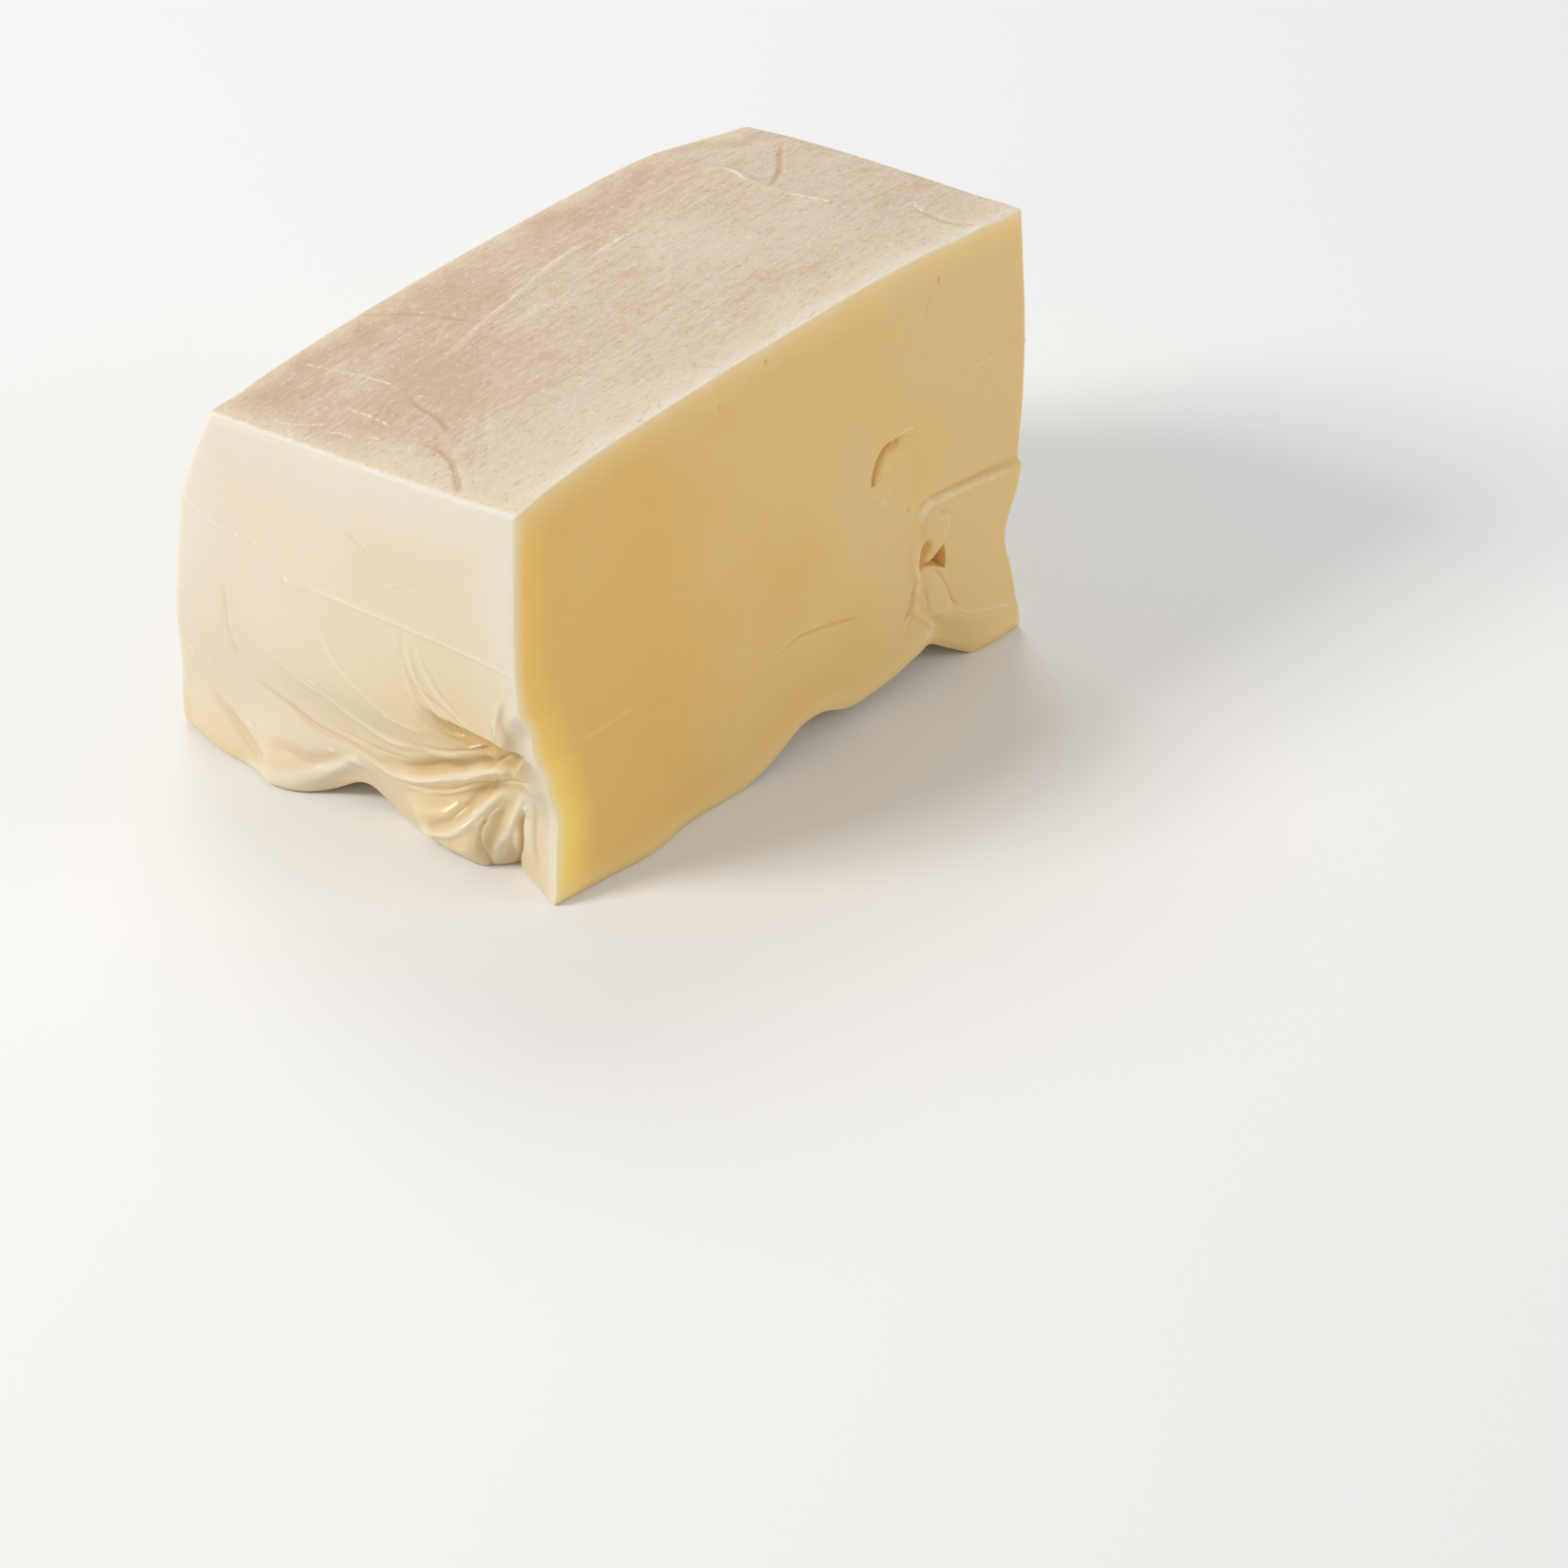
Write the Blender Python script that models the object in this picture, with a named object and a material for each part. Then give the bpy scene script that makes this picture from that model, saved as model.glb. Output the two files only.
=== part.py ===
"""A block of emmental cheese: rind on top, one smooth cut face, and one end face creased by its wrapping.

The cut face looks to -Y and runs along X, the creased end face looks to -X, and the rind looks up.
The block rests on its flat base at z = 0. Sizes are metres, and the tables of points are millimetres.
"""

import math

import bmesh
import bpy
import numpy as np

MM = 0.001

# The eight corners follow from these sizes.
CUT_LENGTH_BASE = 0.2033
CUT_LENGTH_TOP = 0.2131
NEAR_HEIGHT = 0.1250
FAR_HEIGHT = 0.1344
BACK_HEIGHT_LOSS = 0.0030
CUT_LEAN = 0.0856
BASE_DEPTH = 0.1486
TOP_DEPTH = 0.1190
END_SKEW_BASE = -0.0013
END_SKEW_TOP = -0.0148
FAR_SKEW = -0.0085

# The back bows out along its length, and the far back corner is cut off.
BACK_BOW = 0.0045
BACK_BOW_SHIFT = 0.75
END_SWELL = 0.0030
FAR_SWELL = 0.0040
CORNER_CUT_START = 0.158
CORNER_CUT_RUN = 0.050
CORNER_CUT_DEPTH = 0.0066

# Edge radii. The cut face was sliced last, so its edges are crisp.
CUT_EDGE = 0.0006
RIND_EDGE = 0.0030
SIDE_EDGE = 0.0050
FAR_BACK_EDGE = 0.0070
BASE_EDGE = 0.0020
EDGE_REACH = 0.0080

# How far into the block each face's relief moves the points behind it.
END_REACH = 0.060
FAR_REACH = 0.050
CUT_REACH = 0.020
BACK_REACH = 0.060
TOP_REACH = 0.030
BASE_REACH = 0.030
FOOT_REACH = 0.014
CUT_FOOT_REACH = 0.030
UNDERCUT_REACH = 0.040
HEM_REACH = 0.030

# The fine grid is made first, and the solid keeps this share of its triangles.
GRID_ALONG = 80
GRID_DEEP = 100
GRID_HIGH = 96
KEPT_SHARE = 0.105
EDGE_LINES = [0, 0.0006, 0.0015, 0.0030, 0.0050]
# Where a direction's lines crowd together (as shares of its length): middle, half width and gain.
CROWD_AT_TEAR = (0.8, 0.15, 0.8)
CROWD_AT_PINCH = (0.2, 0.25, 1.5)
CROWD_LOW = (0.3, 0.24, 1.5)

# Outlines in millimetres: (place along the face, distance outwards, or upwards for the underside).
NEAR_EDGE = [(0, 0), (8, -0.5), (16, -2), (25, -4), (31, -3), (37, 0.5), (43, 4), (50, 6), (58, 6.5), (73, 7),
             (103, 4.5), (125, 1.5)]
FAR_EDGE = [(0, 0), (9, -3.5), (23, -6.5), (35, -9), (43, -5.5), (48, -3), (64, 0.5), (90, 2.5), (121, 1.5),
            (134, 1)]
BACK_EDGE = [(0, 0), (20, 4.8), (36, 8.2), (52, 9.4), (68, 9.8), (88, 9.6), (99, 7.3), (108, 4.4), (116, 1.4),
             (125, 0.2)]
FOOT_LINE = [(0, 1.2), (8, -2.5), (18, -6), (22, -8), (26, -2.5), (38, -1), (58, -3), (66, -4), (78, -2),
             (87, 1), (95, 6), (103, 8), (113, 6), (125, 6), (148, 1)]
HEM_LIFT = {"middle": 77, "half": 9, "rise": 6.5}
CUT_FOOT_LINE = [(0, 1.7), (19, 2.8), (42, 3.5), (52, 1.5), (80, 1), (170, 1), (185, 2.5), (203, 1)]
UNDERCUT = [(80, 0), (91, 2.5), (98, 5), (107, 8.7), (116, 8.8), (128, 5), (146, 5.8), (166, 8.5), (174, 4),
            (181, 0)]
FOOT_BEVEL_HEIGHT = 0.0035
FOOT_BEVEL_SLOPE = 0.3
LEDGE_LINE = [(160, 57), (166, 56.7), (184, 57), (195, 56), (207, 54.5)]

# Creases: points, width on the left and on the right of the way walked, and rise (negative for a groove).
# Those of the end face are points (y, z). Most run across it and are walked towards its near corner, with
# their left below. Those in the near corner that run down to the foot have their left on the far side.
END_CREASES = [
    ([(44, 52), (33, 50), (23, 49.5), (15, 48.5), (9, 46)], 7.5, 1.2, -3.6),
    ([(52, 31), (40, 34), (31, 38), (23, 42.5), (16, 46)], 1.8, 1.8, 0.9),
    ([(68, 20), (53, 23), (44, 28), (35, 33), (27, 38), (19, 42)], 2.0, 2.6, -2.4),
    ([(78, 17), (60, 18), (50, 21), (44, 23.5), (33, 29), (21, 37), (13, 41)], 1.6, 1.6, 1.5),
    ([(62, 13), (54, 14), (44, 17), (36, 21), (28, 26), (18, 32)], 1.6, 1.6, -0.8),
    ([(17, 33), (25, 28), (30, 23), (34, 18), (38, 13), (46, 7)], 2.0, 2.4, -1.5),
    ([(17, 32), (24, 25), (29, 18), (32, 14), (37, 9.5), (43, 7), (52, 2)], 2.4, 1.2, 1.5),
    ([(16, 29), (21, 22), (24, 16), (25, 12), (26, 5), (26, -2)], 1.7, 1.5, -1.1),
    ([(10, 34), (15, 26), (17, 21), (20, 15), (23, 9), (26, 1)], 1.5, 1.2, 1.3),
    ([(13, 26), (15, 20), (15, 16), (16.5, 11), (19, 6), (22, -1)], 0.9, 0.7, -2.6),
    ([(12, 5), (12, 12), (12, 21), (10, 30), (7, 37)], 2.4, 2.4, 0.7),
    ([(102, 73.5), (91, 75), (79, 76.5), (62, 77.5), (40, 78), (20, 77.5), (5, 76)], 0.8, 1.1, 0.5),
    ([(10, 68), (12, 62), (12, 57.5), (10.5, 54), (12, 49)], 0.8, 2.2, -0.9),
    ([(122, 1), (113, 1), (104, 2), (95, 4), (83, 9), (73, 13)], 3.0, 3.0, 1.8),
    ([(111, 11), (101, 12), (94, 11), (83, 11), (77, 8)], 1.6, 2.0, -1.3),
    ([(131, 22), (127, 16), (122, 13), (117, 9), (110, 4)], 1.2, 2.0, -0.9),
    ([(92, 47), (86, 40), (78, 35), (69, 32), (61, 30.5), (51, 32)], 1.1, 1.3, 0.5),
    ([(88, 73), (82, 65), (75, 54), (65, 46.5), (56, 42), (43, 42)], 1.3, 1.3, 0.45),
    ([(118, 32), (103, 27), (90, 22), (71, 19), (56, 18)], 1.4, 1.4, -0.5),
]
# Swellings and hollows of the end face: centre (y, z), half sizes and rise.
LOWER_LOBE = (40, 9, 20, 10, 3.5)
NEAR_WAIST = (2, 50, 11, 14, -3.4)
DOME_FULLNESS = 1.8
# The height of a crease grows over this share of its trail, and drops over the last share.
FADE_IN = 0.42
FADE_OUT = 0.11
KEPT_AT_START = 0.08
KEPT_AT_END = 0.35

# Torn patch of the cut face: creases as points (x, z), and domes as centre, halves and rise.
CUT_CREASES = [
    ([(158, 57), (160, 50), (158, 40), (160, 32), (157, 25), (160, 18), (167, 8)], 1.4, 1.4, 0.6),
    ([(166, 47), (163.5, 43), (162, 39), (162, 36)], 3.0, 0.8, -1.3),
]
CUT_DOMES = [(168, 47, 7, 8, 0.9), (168, 24, 8, 14, 0.8), (157, 70, 11, 12, -0.8)]
LEDGE_RISE = 0.0022
LEDGE_BLUR = 0.0026
LEDGE_START = 0.160
LEDGE_RUN = 0.035
TURN_UNDER_SLOPE = 0.2
TURN_UNDER_START = 0.158
TURN_UNDER_RUN = 0.012
TURN_UNDER_LINE = [(160, 17), (166, 17), (184, 13), (201, 9), (208, 8)]

# Creases of the rind, as points (x, y).
RIND_CREASES = [
    ([(24, 83), (43, 81), (63, 85), (82, 88), (102, 92), (122, 94)], 1.6, 1.6, 0.6),
    ([(26, 80), (22, 69), (21, 61), (18, 54)], 0.8, 0.8, -0.5),
    ([(8, 61), (10, 53), (9, 46), (5, 39), (0, 32)], 1.2, 1.2, -0.5),
    ([(170, 114), (171, 99), (175, 93), (173, 78), (175, 65), (178, 56)], 1.6, 1.6, 0.5),
    ([(204, 103), (193, 92), (185, 83), (175, 76)], 0.9, 0.9, -0.5),
    ([(192, 37), (190, 27), (191, 19), (195, 13)], 0.9, 0.9, -0.4),
    ([(47, 125), (52, 115), (60, 103), (65, 90)], 0.9, 0.9, -0.4),
]
FAR_STRIP_LINE = [(10, 195), (28, 189), (60, 176), (95, 171), (116, 171)]
FAR_STRIP_SLOPE = 0.07
FAR_STRIP_BLEND = 0.006
# The rind's swelling along the cut edge, as (x, rise). It dies away towards the back.
RIND_SWELL = [(0, -1), (10, 1), (28, 3), (60, 4.2), (110, 4.5), (150, 4), (170, 3), (190, 1), (205, 0), (213, 0)]

# Eyes in the cut face: a crescent pocket between an outer and an inner line, and a three-sided hole.
SLOT_OUTER = [(154.8, 82.8), (151, 83.2), (147.8, 82.2), (145, 79.8), (143, 76), (142.2, 72)]
SLOT_INNER = [(144.4, 71.6), (145.6, 74.6), (147.8, 77.8), (150.6, 80.2), (154, 81.6)]
SLOT_DEPTH = 5.5
SLOT_FLOOR = 0.3
HOLE_CORNERS = [(161.5, 37.2), (166, 38.4), (171.4, 41.6), (171.6, 37.5), (171.2, 33.6), (166.5, 36)]
HOLE_DEPTH = 8.0
HOLE_TAPER = 0.4
CUTTER_STANDS_OUT = 4

ROUGHNESS = 0.45
SHARP_ANGLE = 35
PASTE = (0.83, 0.68, 0.40)
EYE_PASTE = (0.72, 0.48, 0.20)


def clear_scene():
    for item in list(bpy.data.objects):
        bpy.data.objects.remove(item)


def smooth(value):
    """0 to 1 with flat ends."""
    value = np.clip(value, 0, 1)
    return value * value * (3 - 2 * value)


def profile(table, place):
    """The smooth curve through a table of (place, value) in millimetres, held level past its ends."""
    at, value = np.array(table, float).T * MM
    slope = np.gradient(value, at)
    place = np.clip(place, at[0], at[-1])
    i = np.clip(np.searchsorted(at, place) - 1, 0, len(at) - 2)
    run = at[i + 1] - at[i]
    t = (place - at[i]) / run
    rise = value[i] + (value[i + 1] - value[i]) * smooth(t)
    return rise + run * t * (1 - t) * (slope[i] * (1 - t) - slope[i + 1] * t)


def trail(points, steps=24):
    """Points along the smooth curve through a crease's own points."""
    points = np.array(points, float) * MM
    chord = np.concatenate([[0], np.cumsum(np.hypot(*np.diff(points, axis=0).T))])
    at = np.linspace(0, chord[-1], steps)
    tables = [np.column_stack([chord, points[:, i]]) / MM for i in (0, 1)]
    return np.column_stack([profile(table, at) for table in tables])


def distance_to_trail(path, a, b):
    """Signed distance to a trail, positive on its left, and the share of the way along it."""
    nearest = np.full(a.shape, np.inf)
    signed = np.zeros(a.shape)
    share = np.zeros(a.shape)
    last = len(path) - 2
    for i in range(last + 1):
        start = path[i]
        run = path[i + 1] - start
        t = ((a - start[0]) * run[0] + (b - start[1]) * run[1]) / (run @ run)
        held = np.clip(t, 0, 1)
        off_a = a - start[0] - held * run[0]
        off_b = b - start[1] - held * run[1]
        distance = np.hypot(off_a, off_b)
        closer = distance < nearest
        nearest[closer] = distance[closer]
        side = np.sign(run[0] * off_b - run[1] * off_a)
        signed[closer] = (side * distance)[closer]
        share[closer] = ((i + held) / (last + 1))[closer]
    return signed, share


def end_fade(share):
    """How much of a crease's height is left at this share of its trail."""
    return smooth(share / FADE_IN + KEPT_AT_START) * smooth((1 - share) / FADE_OUT + KEPT_AT_END)


def creases(strokes, a, b):
    """Sum of ridges and grooves along their trails."""
    height = np.zeros(a.shape)
    for points, left, right, rise in strokes:
        distance, share = distance_to_trail(trail(points), a, b)
        width = np.where(distance > 0, left, right) * MM
        height += rise * MM * end_fade(share) * np.exp(-((distance / width) ** 2))
    return height


def dome(a, b, centre_a, centre_b, half_a, half_b, rise):
    """A low round swelling, or a hollow where rise is negative."""
    out = np.hypot((a - centre_a * MM) / (half_a * MM), (b - centre_b * MM) / (half_b * MM))
    return rise * MM * smooth(DOME_FULLNESS * (1 - out))


def end_height(y, z):
    """Outward relief of the creased end face."""
    depth = BASE_DEPTH + (TOP_DEPTH - BASE_DEPTH) * z / NEAR_HEIGHT
    across = np.clip(y / depth, 0, 1)
    up = np.clip(z / NEAR_HEIGHT, 0, 1)
    height = profile(NEAR_EDGE, z) * (1 - across)
    height += END_SWELL * np.sin(np.pi * across) * np.sin(np.pi * up)
    height += profile(FOOT_LINE, y) * np.exp(-((z / FOOT_REACH) ** 2))
    height += dome(y, z, *LOWER_LOBE) + dome(y, z, *NEAR_WAIST)
    return height + creases(END_CREASES, y, z)


def cut_height(x, z):
    """Outward relief of the cut face: flat, but for the torn patch at its far end."""
    ledge = smooth((profile(LEDGE_LINE, x) - z) / LEDGE_BLUR + 0.5)
    height = LEDGE_RISE * smooth((x - LEDGE_START) / LEDGE_RUN) * ledge
    for shape in CUT_DOMES:
        height += dome(x, z, *shape)
    height += creases(CUT_CREASES, x, z)
    below = np.clip(profile(TURN_UNDER_LINE, x) - z, 0, None)
    height -= TURN_UNDER_SLOPE * below * smooth((x - TURN_UNDER_START) / TURN_UNDER_RUN)
    height += profile(CUT_FOOT_LINE, x) * smooth(1 - z / CUT_FOOT_REACH)
    height -= FOOT_BEVEL_SLOPE * np.clip(FOOT_BEVEL_HEIGHT - z, 0, None)
    return height


def top_height(x, y):
    """Relief of the rind: a swelling, pressed creases, and a strip at the far end that bends down."""
    swell = profile(RIND_SWELL, x) * (1 - np.clip(y / TOP_DEPTH, 0, 1) ** 2)
    past = np.clip(x - profile(FAR_STRIP_LINE, y), 0, None)
    strip = FAR_STRIP_SLOPE * past * smooth(past / FAR_STRIP_BLEND)
    return swell + creases(RIND_CREASES, x, y) - strip


def base_height(x, y):
    """How far the underside is lifted off the surface that the block stands on."""
    under_cut = profile(UNDERCUT, x) * smooth(1 - y / UNDERCUT_REACH)
    from_middle = (y - HEM_LIFT["middle"] * MM) / (HEM_LIFT["half"] * MM)
    hem = HEM_LIFT["rise"] * MM * np.exp(-(from_middle**2)) * smooth(1 - x / HEM_REACH)
    return under_cut + hem


def surface_grid(along, deep, high):
    """Points of a unit box's surface and the quads between them, facing out."""
    shape = (len(along), len(deep), len(high))
    outer = np.zeros(shape, bool)
    outer[[0, -1]] = True
    outer[:, [0, -1]] = True
    outer[:, :, [0, -1]] = True
    index = np.full(shape, -1)
    index[outer] = np.arange(outer.sum())
    i, j, k = np.nonzero(outer)
    sides = [(index[0], True), (index[-1], False), (index[:, 0], False), (index[:, -1], True),
             (index[:, :, 0], True), (index[:, :, -1], False)]
    quads = []
    for side, turned in sides:
        quad = np.stack([side[:-1, :-1], side[1:, :-1], side[1:, 1:], side[:-1, 1:]], -1).reshape(-1, 4)
        quads.append(quad[:, ::-1] if turned else quad)
    return np.column_stack([along[i], deep[j], high[k]]), np.concatenate(quads)


def grid_lines(count, size, crowd):
    """Places of grid lines from 0 to 1: closer together round a crowded place, and at the rounded edges."""
    middle, half, gain = crowd
    t = np.linspace(0, 1, 1001)
    total = np.cumsum(1 + gain * np.exp(-(((t - middle) / half) ** 2)))
    even = np.interp(np.linspace(total[0], total[-1], count), total, t)
    edge = np.array(EDGE_LINES) / size
    inner = even[(even > edge[-1]) & (even < 1 - edge[-1])]
    return np.concatenate([edge, inner, 1 - edge[::-1]])


def round_edges(box, size):
    """Moves the points of a straight box onto rounded edges, each pair of faces with its own radius."""
    low = box
    high = size - box
    end, cut, base = low.T
    far, back, top = high.T
    radii = [(cut, end, CUT_EDGE), (cut, far, CUT_EDGE), (cut, top, CUT_EDGE), (cut, base, CUT_EDGE),
             (end, top, RIND_EDGE), (back, top, RIND_EDGE), (far, top, RIND_EDGE),
             (end, back, SIDE_EDGE), (far, back, FAR_BACK_EDGE),
             (end, base, BASE_EDGE), (back, base, BASE_EDGE), (far, base, BASE_EDGE)]
    weight_sum = np.zeros(len(box))
    radius_sum = np.zeros(len(box))
    for first, second, radius in radii:
        weight = np.exp(-(first**2 + second**2) / (2 * EDGE_REACH**2)) + 1e-9
        weight_sum += weight
        radius_sum += weight * radius
    radius = (radius_sum / weight_sum)[:, None]
    core = np.clip(box, radius, size - radius)
    outward = box - core
    return core + radius * outward / np.linalg.norm(outward, axis=1, keepdims=True)


def corner_blend(unit):
    """Places points of the unit box between the block's eight corners."""
    near_top = (0, CUT_LEAN * NEAR_HEIGHT, NEAR_HEIGHT)
    far_top = (CUT_LENGTH_TOP, CUT_LEAN * FAR_HEIGHT, FAR_HEIGHT)
    corners = {
        (0, 0, 0): (0, 0, 0),
        (1, 0, 0): (CUT_LENGTH_BASE, 0, 0),
        (0, 1, 0): (END_SKEW_BASE, BASE_DEPTH, 0),
        (1, 1, 0): (CUT_LENGTH_BASE + FAR_SKEW, BASE_DEPTH, 0),
        (0, 0, 1): near_top,
        (1, 0, 1): far_top,
        (0, 1, 1): (END_SKEW_TOP, TOP_DEPTH, NEAR_HEIGHT - BACK_HEIGHT_LOSS),
        (1, 1, 1): (CUT_LENGTH_TOP + FAR_SKEW, TOP_DEPTH, FAR_HEIGHT - BACK_HEIGHT_LOSS),
    }
    placed = np.zeros(unit.shape)
    for ends, corner in corners.items():
        share = np.prod([unit[:, i] if ends[i] else 1 - unit[:, i] for i in range(3)], axis=0)
        placed += share[:, None] * np.array(corner)
    return placed


def block_surface(along, deep, high):
    """The block's surface as points and quads, in metres."""
    size = np.array([CUT_LENGTH_BASE, (BASE_DEPTH + TOP_DEPTH) / 2, NEAR_HEIGHT])
    unit, quads = surface_grid(along, deep, high)
    box = round_edges(unit * size, size)
    inward_low = box
    inward_high = size - box
    points = corner_blend(box / size)
    x, y, z = points.T
    up = np.clip(z / NEAR_HEIGHT, 0, 1)
    across = np.clip(y / BASE_DEPTH, 0, 1)
    near_end = smooth(1 - inward_low[:, 0] / END_REACH)
    near_far = smooth(1 - inward_high[:, 0] / FAR_REACH)
    near_cut = smooth(1 - inward_low[:, 1] / CUT_REACH)
    near_back = smooth(1 - inward_high[:, 1] / BACK_REACH)
    near_top = smooth(1 - inward_high[:, 2] / TOP_REACH)
    near_base = smooth(1 - inward_low[:, 2] / BASE_REACH)
    far_height = profile(FAR_EDGE, z) * (1 - across) + FAR_SWELL * np.sin(np.pi * across)
    along_share = np.clip(x / CUT_LENGTH_TOP, 0, 1)
    back_height = profile(BACK_EDGE, z)
    back_height += BACK_BOW * up * np.sin(np.pi * along_share**BACK_BOW_SHIFT)
    back_height -= CORNER_CUT_DEPTH * smooth((x - CORNER_CUT_START) / CORNER_CUT_RUN)
    moved_x = far_height * near_far - end_height(y, z) * near_end
    moved_y = back_height * near_back - cut_height(x, z) * near_cut
    moved_z = top_height(x, y) * near_top + base_height(x, y) * near_base
    # The cut face stays one plane: what moves up or down on it follows its lean.
    moved_y += CUT_LEAN * moved_z * near_cut
    return points + np.column_stack([moved_x, moved_y, moved_z]), quads


def paste_material(name, colour):
    material = bpy.data.materials.new(name)
    material.use_nodes = True
    shader = material.node_tree.nodes["Principled BSDF"]
    shader.inputs["Base Color"].default_value = (*colour, 1)
    shader.inputs["Roughness"].default_value = ROUGHNESS
    shader.inputs["Metallic"].default_value = 0.0
    return material


def new_object(name, points, faces, colour):
    mesh = bpy.data.meshes.new(name)
    mesh.from_pydata(points, [], faces)
    mesh.materials.append(paste_material(name, colour))
    item = bpy.data.objects.new(name, mesh)
    bpy.context.scene.collection.objects.link(item)
    return item


def make_block():
    size_deep = (BASE_DEPTH + TOP_DEPTH) / 2
    along = grid_lines(GRID_ALONG, CUT_LENGTH_BASE, CROWD_AT_TEAR)
    deep = grid_lines(GRID_DEEP, size_deep, CROWD_AT_PINCH)
    high = grid_lines(GRID_HIGH, NEAR_HEIGHT, CROWD_LOW)
    points, quads = block_surface(along, deep, high)
    block = new_object("cheese_block", points.tolist(), quads.tolist(), PASTE)
    block.data.shade_smooth()
    block.data.set_sharp_from_angle(angle=math.radians(SHARP_ANGLE))
    thin = block.modifiers.new("thin_out", "DECIMATE")
    thin.ratio = KEPT_SHARE
    return block


def on_cut_face(x, z, inward):
    """A point behind or in front of the cut face, from millimetres."""
    return (x * MM, (z * CUT_LEAN + inward) * MM, z * MM)


def cutter(name, rings, colour):
    """A closed solid through a stack of equal rings of points, used only to cut."""
    count = len(rings[0])
    points = [point for ring in rings for point in ring]
    faces = [list(range(count))[::-1], [len(points) - count + i for i in range(count)]]
    for start in range(0, len(points) - count, count):
        for i in range(count):
            after = (i + 1) % count
            faces.append([start + i, start + after, start + count + after, start + count + i])
    item = new_object(name, points, faces, colour)
    mesh = bmesh.new()
    mesh.from_mesh(item.data)
    bmesh.ops.recalc_face_normals(mesh, faces=mesh.faces)
    mesh.to_mesh(item.data)
    mesh.free()
    item.hide_render = True
    item.display_type = "WIRE"
    return item


def make_slot_cutter():
    """A crescent pocket: steep under its outer line, and sloping up to the surface at its inner line."""
    outer = np.array(SLOT_OUTER)
    inner = np.array(SLOT_INNER)
    across_from = outer[::-1][: len(inner)]
    deepest = across_from + (inner - across_from) * SLOT_FLOOR
    rings = []
    for inward, floor in ((-CUTTER_STANDS_OUT, inner), (0, inner), (SLOT_DEPTH, deepest)):
        rings.append([on_cut_face(x, z, inward) for x, z in np.concatenate([outer, floor])])
    return cutter("slot_cutter", rings, EYE_PASTE)


def make_hole_cutter():
    """A three-sided hole with bowed sides that narrows inward."""
    outline = np.array(HOLE_CORNERS)
    middle = outline.mean(axis=0)
    rings = []
    for inward, scale in ((-CUTTER_STANDS_OUT, 1), (0, 1), (HOLE_DEPTH, HOLE_TAPER)):
        ring = middle + (outline - middle) * scale
        rings.append([on_cut_face(x, z, inward) for x, z in ring])
    return cutter("hole_cutter", rings, EYE_PASTE)


def cut(block, tool):
    step = block.modifiers.new("cut_" + tool.name, "BOOLEAN")
    step.operation = "DIFFERENCE"
    step.solver = "EXACT"
    step.object = tool


def centre_on_base(block, pieces):
    """Parents the pieces to an empty, placed so that the block's base is centred on the origin."""
    bpy.context.view_layer.update()
    solid = block.evaluated_get(bpy.context.evaluated_depsgraph_get())
    corners = np.array([corner[:] for corner in solid.bound_box])
    low = corners.min(axis=0)
    high = corners.max(axis=0)
    holder = bpy.data.objects.new("cheese", None)
    bpy.context.scene.collection.objects.link(holder)
    for piece in pieces:
        piece.parent = holder
    holder.location = (-(low[0] + high[0]) / 2, -(low[1] + high[1]) / 2, -low[2])


def main():
    clear_scene()
    block = make_block()
    tools = [make_slot_cutter(), make_hole_cutter()]
    for tool in tools:
        cut(block, tool)
    centre_on_base(block, [block, *tools])


main()
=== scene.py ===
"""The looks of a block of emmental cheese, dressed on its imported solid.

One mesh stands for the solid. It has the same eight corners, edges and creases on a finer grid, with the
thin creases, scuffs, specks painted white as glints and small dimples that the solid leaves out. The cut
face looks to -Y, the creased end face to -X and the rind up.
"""

import math

import bmesh
import bpy
import numpy as np
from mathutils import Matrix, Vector
from mathutils.bvhtree import BVHTree
from mathutils.interpolate import poly_3d_calc


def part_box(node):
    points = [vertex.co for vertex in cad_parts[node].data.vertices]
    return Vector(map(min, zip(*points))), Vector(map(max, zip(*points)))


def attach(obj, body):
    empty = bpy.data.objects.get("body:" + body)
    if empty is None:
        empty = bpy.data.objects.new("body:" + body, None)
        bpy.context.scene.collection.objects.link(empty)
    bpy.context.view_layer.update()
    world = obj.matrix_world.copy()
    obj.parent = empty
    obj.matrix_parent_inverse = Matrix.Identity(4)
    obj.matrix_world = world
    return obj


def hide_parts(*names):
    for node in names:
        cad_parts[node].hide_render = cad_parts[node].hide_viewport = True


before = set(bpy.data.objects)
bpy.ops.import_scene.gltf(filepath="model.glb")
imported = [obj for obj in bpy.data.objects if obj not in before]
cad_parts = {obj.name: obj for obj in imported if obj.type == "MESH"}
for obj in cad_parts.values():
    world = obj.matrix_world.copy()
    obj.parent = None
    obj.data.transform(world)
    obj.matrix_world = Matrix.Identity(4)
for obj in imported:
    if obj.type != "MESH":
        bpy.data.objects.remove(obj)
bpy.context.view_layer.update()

NODE = "cheese_block"
BODY = "root"
MM = 0.001

# The eight corners follow from these sizes, in metres.
CUT_LENGTH_BASE = 0.2033
CUT_LENGTH_TOP = 0.2131
NEAR_HEIGHT = 0.1250
FAR_HEIGHT = 0.1344
BACK_HEIGHT_LOSS = 0.0030
CUT_LEAN = 0.0856
BASE_DEPTH = 0.1486
TOP_DEPTH = 0.1190
END_SKEW_BASE = -0.0013
END_SKEW_TOP = -0.0148
FAR_SKEW = -0.0085

# The back bows out along its length, and the far back corner is cut off.
BACK_BOW = 0.0045
BACK_BOW_SHIFT = 0.75
END_SWELL = 0.0030
FAR_SWELL = 0.0040
CORNER_CUT_START = 0.158
CORNER_CUT_RUN = 0.050
CORNER_CUT_DEPTH = 0.0066

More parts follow.
